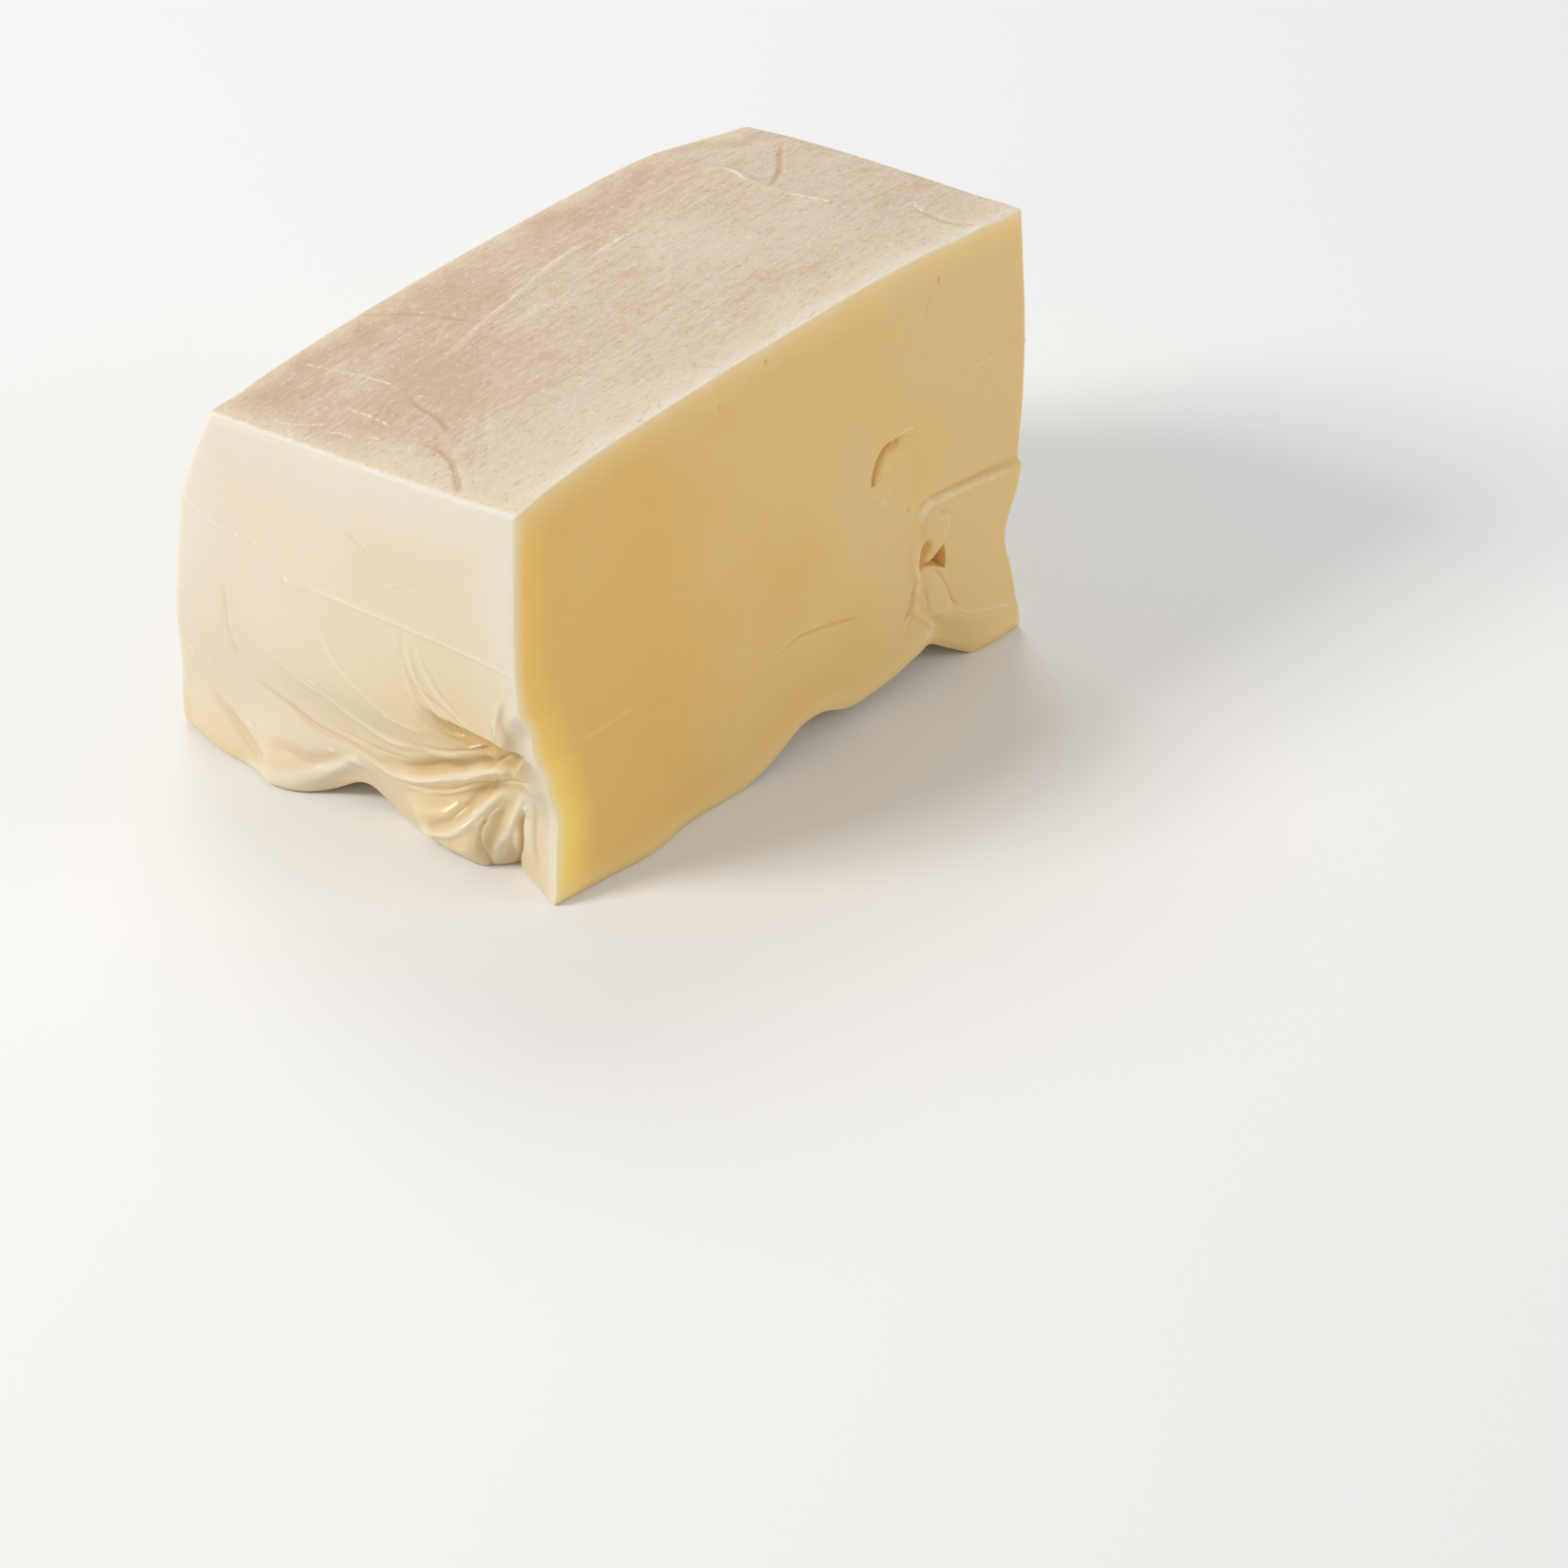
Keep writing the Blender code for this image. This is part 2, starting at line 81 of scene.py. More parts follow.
# Edge radii. The cut face was sliced last, so its edges are crisp.
CUT_EDGE = 0.0006
RIND_EDGE = 0.0030
SIDE_EDGE = 0.0050
FAR_BACK_EDGE = 0.0070
BASE_EDGE = 0.0020
EDGE_REACH = 0.0080
# Keeps the mean of the radii defined where no edge is near.
LEAST_WEIGHT = 1e-9

# How far into the block each face's relief moves the points behind it.
END_REACH = 0.060
FAR_REACH = 0.050
CUT_REACH = 0.020
BACK_REACH = 0.060
TOP_REACH = 0.030
BASE_REACH = 0.030
FOOT_REACH = 0.014
CUT_FOOT_REACH = 0.030
UNDERCUT_REACH = 0.040
HEM_REACH = 0.030

# The grid is finer than the mesh that is kept: thinning it leaves the triangles where the creases are.
GRID_ALONG = 330
GRID_DEEP = 250
GRID_HIGH = 240
KEPT_TRIANGLES = 180000
EDGE_LINES = [0, 0.0003, 0.0006, 0.0010, 0.0015, 0.0022, 0.0030, 0.0040, 0.0050]
# Where a direction's lines crowd together (as shares of its length): middle, half width and gain.
CROWD_AT_TEAR = (0.8, 0.15, 0.3)
CROWD_AT_PINCH = (0.2, 0.25, 1.2)
CROWD_LOW = (0.3, 0.24, 1.3)
CROWD_SAMPLES = 1001

# Outlines in millimetres: (place along the face, distance outwards, or upwards for the underside).
NEAR_EDGE = [(0, 0), (8, -0.5), (16, -2), (25, -4), (31, -3), (37, 0.5), (43, 4), (50, 6), (58, 6.5),
             (73, 7), (103, 4.5), (125, 1.5)]
FAR_EDGE = [(0, 0), (9, -3.5), (23, -6.5), (35, -9), (43, -5.5), (48, -3), (64, 0.5), (90, 2.5),
            (121, 1.5), (134, 1)]
BACK_EDGE = [(0, 0), (20, 4.8), (36, 8.2), (52, 9.4), (68, 9.8), (88, 9.6), (99, 7.3), (108, 4.4),
             (116, 1.4), (125, 0.2)]
FOOT_LINE = [(0, 1.2), (8, -2.5), (18, -6), (22, -8), (26, -2.5), (38, -1), (58, -3), (66, -4), (78, -2),
             (87, 1), (95, 6), (103, 8), (113, 6), (125, 6), (148, 1)]
HEM_LIFT = {"middle": 77, "half": 9, "rise": 6.5}
CUT_FOOT_LINE = [(0, 1.7), (19, 2.8), (42, 3.5), (52, 1.5), (80, 1), (170, 1), (185, 2.5), (203, 1)]
UNDERCUT = [(80, 0), (91, 2.5), (98, 5), (107, 8.7), (116, 8.8), (128, 5), (146, 5.8), (166, 8.5),
            (174, 4), (181, 0)]
FOOT_BEVEL_HEIGHT = 0.0035
FOOT_BEVEL_SLOPE = 0.3
LEDGE_LINE = [(160, 57), (166, 56.7), (184, 57), (195, 56), (207, 54.5)]

# Creases: points, width on the left and on the right of the way walked, and rise (negative for a groove).
# Those of the end face are points (y, z). Most run across it and are walked towards its near corner, with
# their left below. Those in the near corner that run down to the foot have their left on the far side.
END_CREASES = [
    ([(44, 52), (33, 50), (23, 49.5), (15, 48.5), (9, 46)], 7.5, 1.2, -3.6),
    ([(52, 31), (40, 34), (31, 38), (23, 42.5), (16, 46)], 1.8, 1.8, 0.9),
    ([(68, 20), (53, 23), (44, 28), (35, 33), (27, 38), (19, 42)], 2.0, 2.6, -2.4),
    ([(78, 17), (60, 18), (50, 21), (44, 23.5), (33, 29), (21, 37), (13, 41)], 1.6, 1.6, 1.5),
    ([(62, 13), (54, 14), (44, 17), (36, 21), (28, 26), (18, 32)], 1.6, 1.6, -0.8),
    ([(17, 33), (25, 28), (30, 23), (34, 18), (38, 13), (46, 7)], 2.0, 2.4, -1.5),
    ([(17, 32), (24, 25), (29, 18), (32, 14), (37, 9.5), (43, 7), (52, 2)], 2.4, 1.2, 1.5),
    ([(16, 29), (21, 22), (24, 16), (25, 12), (26, 5), (26, -2)], 1.7, 1.5, -1.1),
    ([(10, 34), (15, 26), (17, 21), (20, 15), (23, 9), (26, 1)], 1.5, 1.2, 1.3),
    ([(13, 26), (15, 20), (15, 16), (16.5, 11), (19, 6), (22, -1)], 0.9, 0.7, -2.6),
    ([(12, 5), (12, 12), (12, 21), (10, 30), (7, 37)], 2.4, 2.4, 0.7),
    ([(102, 73.5), (91, 75), (79, 76.5), (62, 77.5), (40, 78), (20, 77.5), (5, 76)], 0.8, 1.1, 0.5),
    ([(10, 68), (12, 62), (12, 57.5), (10.5, 54), (12, 49)], 1.0, 1.8, -0.5),
    ([(122, 1), (113, 1), (104, 2), (95, 4), (83, 9), (73, 13)], 3.0, 3.0, 1.4),
    ([(111, 11), (101, 12), (94, 11), (83, 11), (77, 8)], 2.0, 2.4, -0.8),
    ([(131, 22), (127, 16), (122, 13), (117, 9), (110, 4)], 1.4, 2.4, -0.5),
    ([(92, 47), (86, 40), (78, 35), (69, 32), (61, 30.5), (51, 32)], 1.1, 1.3, 0.5),
    ([(88, 73), (82, 65), (75, 54), (65, 46.5), (56, 42), (43, 42)], 1.3, 1.3, 0.45),
    ([(118, 32), (103, 27), (90, 22), (71, 19), (56, 18)], 1.4, 1.4, -0.5),
]
# Thinner ones that the solid leaves out.
END_FINE_CREASES = [
    ([(52, 33), (44, 35), (38, 37), (32, 40), (27, 42.5), (20, 46)], 0.5, 0.9, -0.6),
    ([(31, 41), (26, 44), (21, 47.3), (15, 49.5)], 0.7, 0.7, 0.4),
    ([(75, 32.5), (69, 31), (62, 29.5), (55, 30)], 0.75, 0.75, 0.38),
    ([(62, 19.5), (54, 20), (47, 22.5), (39, 27), (31, 31.5)], 0.75, 0.75, 0.34),
    ([(66, 15), (54, 17), (46, 19), (39, 22), (32, 27), (24, 30), (15, 36), (8, 38)], 0.5, 0.5, -0.55),
    ([(62, 15), (54, 16), (48, 17.5), (40, 20.5), (33, 24.5)], 0.7, 0.7, 0.32),
    ([(20, 39), (17, 43), (13, 46.5), (10, 48)], 0.4, 0.5, -0.6),
    ([(22, 23), (24, 20.5), (27, 17.5), (29, 14.5)], 0.6, 0.5, 0.6),
    ([(21, 24), (25, 20), (27.5, 16), (27.5, 11), (27, 6), (27, -1)], 0.5, 0.4, -0.8),
    ([(16, 32), (13, 26), (12, 23)], 0.6, 0.6, 0.4),
    ([(45, 75), (45, 68), (43, 62), (38, 55), (32, 50)], 0.9, 0.9, 0.48),
    ([(42, 76), (40, 67), (35, 60), (29, 56), (22, 52.5)], 0.9, 0.9, 0.48),
    ([(48, 69), (46.5, 60), (43, 52), (37, 47), (30, 45)], 0.8, 0.8, 0.4),
    ([(10, 70), (13, 63), (14.5, 58), (15, 53)], 1.1, 1.1, 0.4),
    ([(16, 58), (15.5, 54), (14.5, 51)], 0.4, 0.4, -0.4),
    ([(108, 58), (105, 50), (100, 45), (94, 40), (86, 37)], 0.9, 0.9, 0.4),
    ([(111, 29), (100, 26), (92, 23), (79, 21)], 0.5, 0.5, -0.48),
    ([(89, 27), (82, 25), (72, 24), (57, 25)], 0.5, 0.5, -0.48),
    ([(128, 18), (122, 14), (117, 11), (108, 5)], 0.5, 0.7, -0.48),
    ([(137, 87), (130, 88), (123, 86), (116, 83), (110, 81)], 0.5, 0.7, 0.56),
    ([(70, 101), (66, 99), (60, 96)], 0.5, 0.5, -0.32),
    ([(64, 85), (54, 88), (42, 94), (28, 98)], 0.6, 0.6, 0.24),
    ([(33, 94), (23, 97)], 0.5, 0.5, 0.19),
    ([(114, 68), (114, 58), (115, 45), (114, 36)], 1.0, 1.0, -0.32),
    ([(9, 33), (9.5, 22), (9, 8)], 0.7, 0.7, -0.32),
    ([(5, 36), (5.5, 22), (4.5, 6)], 0.7, 0.7, -0.32),
]
# Small raised specks on the end face, painted white as glints.
END_GLINT_SPECKS = [
    ([(134, 57), (132, 56)], 0.4, 0.4, 0.35),
    ([(132, 53), (129, 51.5)], 0.4, 0.4, 0.4),
    ([(139, 39.5), (136.5, 38)], 0.4, 0.4, 0.35),
    ([(106.5, 82.5), (105, 82)], 0.5, 0.5, 0.35),
    ([(101, 83), (99, 83)], 0.5, 0.5, 0.3),
    ([(91.5, 76), (89.5, 75)], 0.6, 0.6, 0.4),
    ([(93.5, 46), (91, 45.5)], 0.3, 0.3, 0.3),
    ([(89, 41.5), (86, 40.5)], 0.3, 0.3, 0.35),
    ([(116, 14.5), (114, 13)], 0.4, 0.4, 0.4),
    ([(87, 16), (85, 15)], 0.6, 0.6, 0.35),
    ([(136, 31), (133, 29)], 0.6, 0.6, 0.25),
    ([(59, 42.5), (57, 42)], 0.6, 0.6, 0.3),
    ([(55, 42), (55, 41)], 0.4, 0.4, 0.3),
    ([(69, 32), (63, 30), (58, 30)], 0.5, 0.5, 0.15),
    ([(80, 36), (75, 34), (70, 32)], 0.35, 0.35, 0.25),
    ([(29, 42.5), (26.5, 44), (23, 46)], 0.35, 0.35, 0.3),
    ([(14, 24), (12, 27)], 0.5, 0.5, 0.35),
    ([(20.5, 12), (20, 14.5)], 0.5, 0.5, 0.3),
    ([(32, 17), (30, 19)], 0.6, 0.6, 0.3),
    ([(60, 19), (54, 19.5), (47, 22.3), (42, 25)], 0.6, 0.6, 0.15),
    ([(57, 16), (52, 17)], 0.5, 0.5, 0.15),
    ([(84, 77), (74, 77.5), (66, 78)], 0.4, 0.4, 0.2),
    ([(58, 78), (44, 78.5), (24, 78), (8, 77)], 0.4, 0.4, 0.15),
]
# Swellings and hollows of the end face: centre (y, z), half sizes and rise.
LOWER_LOBE = (40, 9, 20, 10, 3.5)
NEAR_WAIST = (2, 49, 12, 17, -3.4)
DOME_FULLNESS = 1.8
# The height of a crease grows over this share of its trail, and drops over the last share.
FADE_IN = 0.42
FADE_OUT = 0.11
KEPT_AT_START = 0.08
KEPT_AT_END = 0.35
# A trail is drawn in this many points, and its crease has died away this many widths from it.
TRAIL_POINTS = 24
CREASE_REACH = 3

# The cut face: creases as points (x, z), and domes as centre, halves and rise.
CUT_CREASES = [
    ([(92, 34), (99, 36), (107, 38), (115, 37), (126, 35), (133, 33)], 0.7, 0.7, -0.5),
    ([(177, 90), (190, 91), (213, 91)], 0.7, 0.7, 0.3),
    ([(158, 57), (160, 50), (158, 40), (160, 32), (157, 25), (160, 18), (167, 8)], 1.4, 1.4, 0.6),
    ([(166, 47), (163.5, 43), (162, 39), (162, 36)], 3.0, 0.8, -1.3),
]
# Thinner ones, and last the dimples of the smallest eyes.
CUT_FINE_CREASES = [
    ([(5, 44), (9, 46), (15, 45), (31, 46), (55, 46)], 0.4, 0.6, 0.22),
    ([(6, 66), (17, 70), (25, 72), (36, 78), (43, 80)], 0.9, 0.9, 0.12),
    ([(93, 30), (89, 26), (86, 21)], 0.6, 0.6, 0.2),
    ([(6, 114), (22, 111), (44, 109), (57, 109)], 0.6, 0.6, -0.12),
    ([(154, 82), (158, 82.5), (164, 79)], 0.5, 0.8, -0.3),
    ([(143, 69), (143.4, 74), (145.6, 79), (149.5, 82), (156, 82.5)], 0.3, 3.0, -1.1),
    ([(207, 55.3), (196, 56.3), (184, 57.3), (175, 57.6), (166, 57.6), (161, 56)], 0.7, 0.6, -0.5),
    ([(157, 60), (158, 57)], 0.6, 0.6, -0.5),
    ([(170, 53), (175, 50)], 0.6, 0.6, -0.5),
    ([(173, 53), (174, 48), (173, 45), (171, 42.5)], 0.7, 0.7, 0.35),
    ([(162, 37), (166, 36), (170, 33), (173, 29), (175, 22), (177, 19)], 0.6, 0.9, -0.5),
    ([(162, 35), (159, 33), (157, 29), (155, 24), (153, 21)], 0.7, 1.0, -0.6),
    ([(162, 33), (163, 27), (163, 19)], 0.6, 0.6, -0.4),
    ([(156, 24), (155, 18), (153, 13)], 0.6, 0.6, -0.4),
    ([(174, 120), (171, 118), (170, 115)], 0.5, 0.5, -0.4),
    ([(173, 118), (176, 118), (181, 118)], 0.4, 0.4, 0.15),
    ([(170, 104), (168, 103)], 0.5, 0.5, -0.2),
    ([(175.5, 123.1), (176.5, 123.1)], 0.7, 0.7, -1.1),
    ([(101.5, 124.8), (102.5, 124.8)], 0.7, 0.7, -1.0),
    ([(81.7, 119.4), (82.3, 119.4)], 0.5, 0.5, -0.8),
    ([(128.8, 119.2), (131.2, 119.8)], 0.35, 0.35, -0.6),
]
# Whitish bloom and scuffs on the cut face, and along the ledge's top a painted highlight.
CUT_SCUFFS_AND_LEDGE_HIGHLIGHT = [
    ([(164, 47), (161.5, 43), (160.5, 38), (160.5, 35), (158.5, 30)], 0.7, 0.7, 0.2),
    ([(206, 53.6), (196, 54.6), (184, 55.6), (175, 55.8), (166, 55.8)], 0.9, 1.3, 0.18),
    ([(168, 58), (165, 55), (162, 53)], 1.6, 1.6, 0.2),
    ([(143.5, 70), (145, 67), (149, 64)], 0.8, 0.8, 0.12),
    ([(154.5, 83), (158, 84), (162, 83.5)], 0.6, 0.6, 0.15),
    ([(173.5, 53), (174.5, 48), (172, 43)], 0.6, 0.6, 0.15),
    ([(163, 13), (165, 9), (163, 4)], 1.3, 1.3, 0.25),
    ([(164, 19.5), (172, 19), (182, 16), (191, 14), (201, 11)], 0.6, 0.6, 0.12),
    ([(92, 35.5), (99, 37), (107, 39), (118, 38)], 0.4, 0.4, 0.15),
    ([(177, 90.5), (190, 91.6), (211, 91.6)], 0.4, 0.4, 0.1),
    ([(7, 46), (12, 46.3), (24, 46), (40, 46.8)], 0.4, 0.4, 0.1),
    ([(10, 68), (17, 70.5), (28, 74)], 0.6, 0.6, 0.06),
]
CUT_DOMES = [(168, 47, 7, 8, 0.9), (168, 24, 8, 14, 0.8), (157, 70, 11, 12, -0.8)]
# Nicks in the torn part of the far edge, as points (depth behind the cut face, z).
FAR_NICKS = [
    ([(9, 55), (4, 54), (0, 53.5)], 0.7, 0.4, -1.0),
    ([(8, 49), (3, 50), (0, 50)], 0.5, 0.5, -1.3),
    ([(7, 46), (3, 45.5), (0, 46)], 0.7, 0.4, 0.9),
    ([(8, 42), (3, 42.5), (0, 42)], 0.4, 0.6, -0.9),
    ([(7, 38), (3, 39), (0, 39.5)], 0.5, 0.5, -0.9),
    ([(6, 36), (2, 36), (0, 36.5)], 0.4, 0.4, -0.7),
]
LEDGE_RISE = 0.0022
LEDGE_BLUR = 0.0026
LEDGE_START = 0.160
LEDGE_RUN = 0.035
TURN_UNDER_SLOPE = 0.2
TURN_UNDER_START = 0.158
TURN_UNDER_RUN = 0.012
TURN_UNDER_LINE = [(160, 17), (166, 17), (184, 13), (201, 9), (208, 8)]
# The knife left the cut face faintly wavy: height, and lengths of the waves along it and up it.
WAVER_RISE = 0.00007
WAVER_ALONG = 0.026
WAVER_UP = 0.019

# The rind: creases as points (x, y).
RIND_CREASES = [
    ([(24, 83), (43, 81), (63, 85), (82, 88), (102, 92), (122, 94)], 1.6, 1.6, 0.6),
    ([(26, 80), (22, 69), (21, 61), (18, 54)], 0.8, 0.8, -0.5),
    ([(8, 61), (10, 53), (9, 46), (5, 39), (0, 32)], 1.2, 1.2, -0.5),
    ([(170, 114), (171, 99), (175, 93), (173, 78), (175, 65), (178, 56)], 1.6, 1.6, 0.5),
    ([(204, 103), (193, 92), (185, 83), (175, 76)], 0.9, 0.9, -0.5),
    ([(192, 37), (190, 27), (191, 19), (195, 13)], 0.9, 0.9, -0.4),
    ([(47, 125), (52, 115), (60, 103), (65, 90)], 0.9, 0.9, -0.4),
]
# Whitish scuffs, most of them raised a little.
RIND_SCUFFS = [
    ([(18, 120), (21, 109), (24, 98), (26, 87), (26, 81)], 0.5, 0.5, 0.25),
    ([(10, 91), (11, 83), (11, 70)], 0.6, 0.6, 0.25),
    ([(-7, 100), (-4, 94), (2, 86)], 0.5, 0.5, 0.25),
    ([(-2, 84), (1, 80), (1, 75)], 0.6, 0.6, 0.25),
    ([(4, 72), (5, 68)], 0.5, 0.5, 0.2),
    ([(13, 65), (16, 61)], 0.6, 0.6, 0.2),
    ([(9, 77), (14, 77), (17, 79)], 0.6, 0.6, -0.3),
    ([(24, 83), (43, 82), (63, 86), (82, 89), (102, 93), (122, 95)], 0.5, 0.5, 0.2),
    ([(28, 78), (45, 79), (64, 83), (84, 86)], 0.4, 0.4, 0.15),
    ([(109, 87), (118, 88), (130, 88)], 0.9, 0.9, 0.2),
    ([(171, 101), (175, 94), (173, 83)], 0.9, 0.9, 0.2),
    ([(173, 70), (176, 60), (178, 55)], 0.8, 0.8, 0.2),
    ([(195, 39), (193, 36), (191, 31)], 0.7, 0.7, 0.25),
    ([(190, 23), (192, 17), (195, 12)], 0.6, 0.6, 0.2),
    ([(8, 61), (9, 53), (8, 46), (4, 39)], 0.5, 0.5, 0.2),
]
FAR_STRIP_LINE = [(10, 195), (28, 189), (60, 176), (95, 171), (116, 171)]
FAR_STRIP_SLOPE = 0.07
FAR_STRIP_BLEND = 0.006
# The rind's swelling along the cut edge, as (x, rise). It dies away towards the back.
RIND_SWELL = [(0, -1), (10, 1), (28, 3), (60, 4.2), (110, 4.5), (150, 4), (170, 3), (190, 1), (205, 0),
              (213, 0)]

# Fine creases that fan out of the pinch, drawn at random between these limits, in millimetres and degrees.
# The bend is in radians, at one distance from the pinch.
PINCH = (13, 46)
RAY_COUNT = 46
RAY_SEED = 7
RAY_ANGLE = (-62, 38)
RAY_START = (3, 16)
RAY_LENGTH = (12, 42)
RAY_BEND = (-0.05, 0.30)
RAY_BEND_AT = 30
RAY_POINTS = 4
RAY_WIDTH = (0.35, 0.7)
RAY_RISE = (0.06, 0.22)

# Eyes in the cut face: a crescent pocket between an outer and an inner line, and a three-sided hole.
SLOT_OUTER = [(154.8, 82.8), (151, 83.2), (147.8, 82.2), (145, 79.8), (143, 76), (142.2, 72)]
SLOT_INNER = [(144.4, 71.6), (145.6, 74.6), (147.8, 77.8), (150.6, 80.2), (154, 81.6)]
SLOT_DEPTH = 5.5
SLOT_FLOOR = 0.3
HOLE_CORNERS = [(161.5, 37.2), (166, 38.4), (171.4, 41.6), (171.6, 37.5), (171.2, 33.6), (166.5, 36)]
HOLE_DEPTH = 8.0
HOLE_TAPER = 0.4
CUTTER_STANDS_OUT = 4
SHARP_ANGLE = 35
# The distances from both ends add up to the block's length within this, but at points that a cut made.
ROUNDING = 1e-5

# Where the camera stands and looks in the block's own frame, whose origin is the foot of the near cut edge.
CAMERA_PLACE = (-1.2384, -1.1967, 1.1548)
CAMERA_TARGET = (0.0904, -0.0063, 0.0)
CAMERA_LENS = 168
SENSOR = 36

# The studio. Lights: name, place, width, power and colour.
LIGHT_TARGET = (0, 0, 0.06)
LIGHTS = [
    ("key", (-1.6, 0.9, 1.5), 0.8, 32, (1.0, 0.98, 0.95)),
    ("top", (0.9, 1.2, 1.6), 1.2, 12, (0.97, 0.98, 1.0)),
    ("fill", (0.9, -1.8, 0.9), 1.4, 11, (1.0, 0.97, 0.93)),
]
SURROUND_COLOUR = (1.0, 1.0, 1.0, 1)
SURROUND_STRENGTH = 0.45
FLOOR_HALF = 4
FLOOR_DULL = (0.84, 0.84, 0.835, 1)
FLOOR_BRIGHT = (0.86, 0.86, 0.855, 1)


def smooth(value):
    """0 to 1 with flat ends."""
    value = np.clip(value, 0, 1)
    return value * value * (3 - 2 * value)


def profile(table, place):
    """The smooth curve through a table of (place, value) in millimetres, held level past its ends."""
    at, value = np.array(table, float).T * MM
    slope = np.gradient(value, at)
    place = np.clip(place, at[0], at[-1])
    i = np.clip(np.searchsorted(at, place) - 1, 0, len(at) - 2)
    run = at[i + 1] - at[i]
    t = (place - at[i]) / run
    rise = value[i] + (value[i + 1] - value[i]) * smooth(t)
    return rise + run * t * (1 - t) * (slope[i] * (1 - t) - slope[i + 1] * t)


def trail(points):
    """Points along the smooth curve through a crease's own points."""
    points = np.array(points, float) * MM
    chord = np.concatenate([[0], np.cumsum(np.hypot(*np.diff(points, axis=0).T))])
    at = np.linspace(0, chord[-1], TRAIL_POINTS)
    tables = [np.column_stack([chord, points[:, i]]) / MM for i in (0, 1)]
    return np.column_stack([profile(table, at) for table in tables])


def distance_to_trail(path, a, b):
    """Signed distance to a trail, positive on its left, and the share of the way along it."""
    nearest = np.full(a.shape, np.inf)
    signed = np.zeros(a.shape)
    share = np.zeros(a.shape)
    last = len(path) - 2
    for i in range(last + 1):
        start = path[i]
        run = path[i + 1] - start
        t = ((a - start[0]) * run[0] + (b - start[1]) * run[1]) / (run @ run)
        held = np.clip(t, 0, 1)
        off_a = a - start[0] - held * run[0]
        off_b = b - start[1] - held * run[1]
        distance = np.hypot(off_a, off_b)
        closer = distance < nearest
        nearest[closer] = distance[closer]
        side = np.sign(run[0] * off_b - run[1] * off_a)
        signed[closer] = (side * distance)[closer]
        share[closer] = ((i + held) / (last + 1))[closer]
    return signed, share


def end_fade(share):
    """How much of a crease's height is left at this share of its trail."""
    return smooth(share / FADE_IN + KEPT_AT_START) * smooth((1 - share) / FADE_OUT + KEPT_AT_END)


def creases(strokes, a, b):
    """Sum of ridges and grooves along their trails."""
    height = np.zeros(a.shape)
    for points, left, right, rise in strokes:
        path = trail(points)
        reach = CREASE_REACH * max(left, right) * MM
        low = path.min(axis=0) - reach
        high = path.max(axis=0) + reach
        near = (a > low[0]) & (a < high[0]) & (b > low[1]) & (b < high[1])
        distance, share = distance_to_trail(path, a[near], b[near])
        width = np.where(distance > 0, left, right) * MM
        height[near] += rise * MM * end_fade(share) * np.exp(-((distance / width) ** 2))
    return height


def dome(a, b, centre_a, centre_b, half_a, half_b, rise):
    """A low round swelling, or a hollow where rise is negative."""
    out = np.hypot((a - centre_a * MM) / (half_a * MM), (b - centre_b * MM) / (half_b * MM))
    return rise * MM * smooth(DOME_FULLNESS * (1 - out))


def pinch_rays():
    """Fine creases that fan out of the pinch, each a little bent, from a seeded draw."""
    draw = np.random.default_rng(RAY_SEED)
    strokes = []
    for _ in range(RAY_COUNT):
        angle = math.radians(draw.uniform(*RAY_ANGLE))
        inner = draw.uniform(*RAY_START)
        outer = inner + draw.uniform(*RAY_LENGTH)
        bend = draw.uniform(*RAY_BEND)
        points = []
        for reach in np.linspace(outer, inner, RAY_POINTS):
            turn = angle + bend * (reach / RAY_BEND_AT) ** 2
            points.append((PINCH[0] + reach * math.cos(turn), PINCH[1] + reach * math.sin(turn)))
        width = draw.uniform(*RAY_WIDTH)
        rise = draw.choice([-1, 1]) * draw.uniform(*RAY_RISE)
        strokes.append((points, width, width, rise))
    return strokes


def end_height(y, z):
    """Outward relief of the creased end face, and its creases and glint specks alone."""
    depth = BASE_DEPTH + (TOP_DEPTH - BASE_DEPTH) * z / NEAR_HEIGHT
    across = np.clip(y / depth, 0, 1)
    up = np.clip(z / NEAR_HEIGHT, 0, 1)
    height = profile(NEAR_EDGE, z) * (1 - across)
    height += END_SWELL * np.sin(np.pi * across) * np.sin(np.pi * up)
    height += profile(FOOT_LINE, y) * np.exp(-((z / FOOT_REACH) ** 2))
    height += dome(y, z, *LOWER_LOBE) + dome(y, z, *NEAR_WAIST)
    fine = creases(END_CREASES + END_FINE_CREASES + pinch_rays(), y, z)
    scuffs_and_glints = creases(END_GLINT_SPECKS, y, z)
    return height + fine + scuffs_and_glints, fine, scuffs_and_glints


def cut_height(x, z):
    """Outward relief of the cut face, which is flat but for its torn far end, and its fine marks alone."""
    ledge = smooth((profile(LEDGE_LINE, x) - z) / LEDGE_BLUR + 0.5)
    height = LEDGE_RISE * smooth((x - LEDGE_START) / LEDGE_RUN) * ledge
    for shape in CUT_DOMES:
        height += dome(x, z, *shape)
    below = np.clip(profile(TURN_UNDER_LINE, x) - z, 0, None)
    height -= TURN_UNDER_SLOPE * below * smooth((x - TURN_UNDER_START) / TURN_UNDER_RUN)
    height += profile(CUT_FOOT_LINE, x) * smooth(1 - z / CUT_FOOT_REACH)
    height -= FOOT_BEVEL_SLOPE * np.clip(FOOT_BEVEL_HEIGHT - z, 0, None)
    turn = 2 * np.pi * x / WAVER_ALONG
    height += WAVER_RISE * np.sin(turn) * np.sin(2 * np.pi * z / WAVER_UP + np.sin(turn / 3))
    fine = creases(CUT_CREASES + CUT_FINE_CREASES, x, z)
    scuffs_and_glints = creases(CUT_SCUFFS_AND_LEDGE_HIGHLIGHT, x, z)
    return height + fine + scuffs_and_glints, fine, scuffs_and_glints


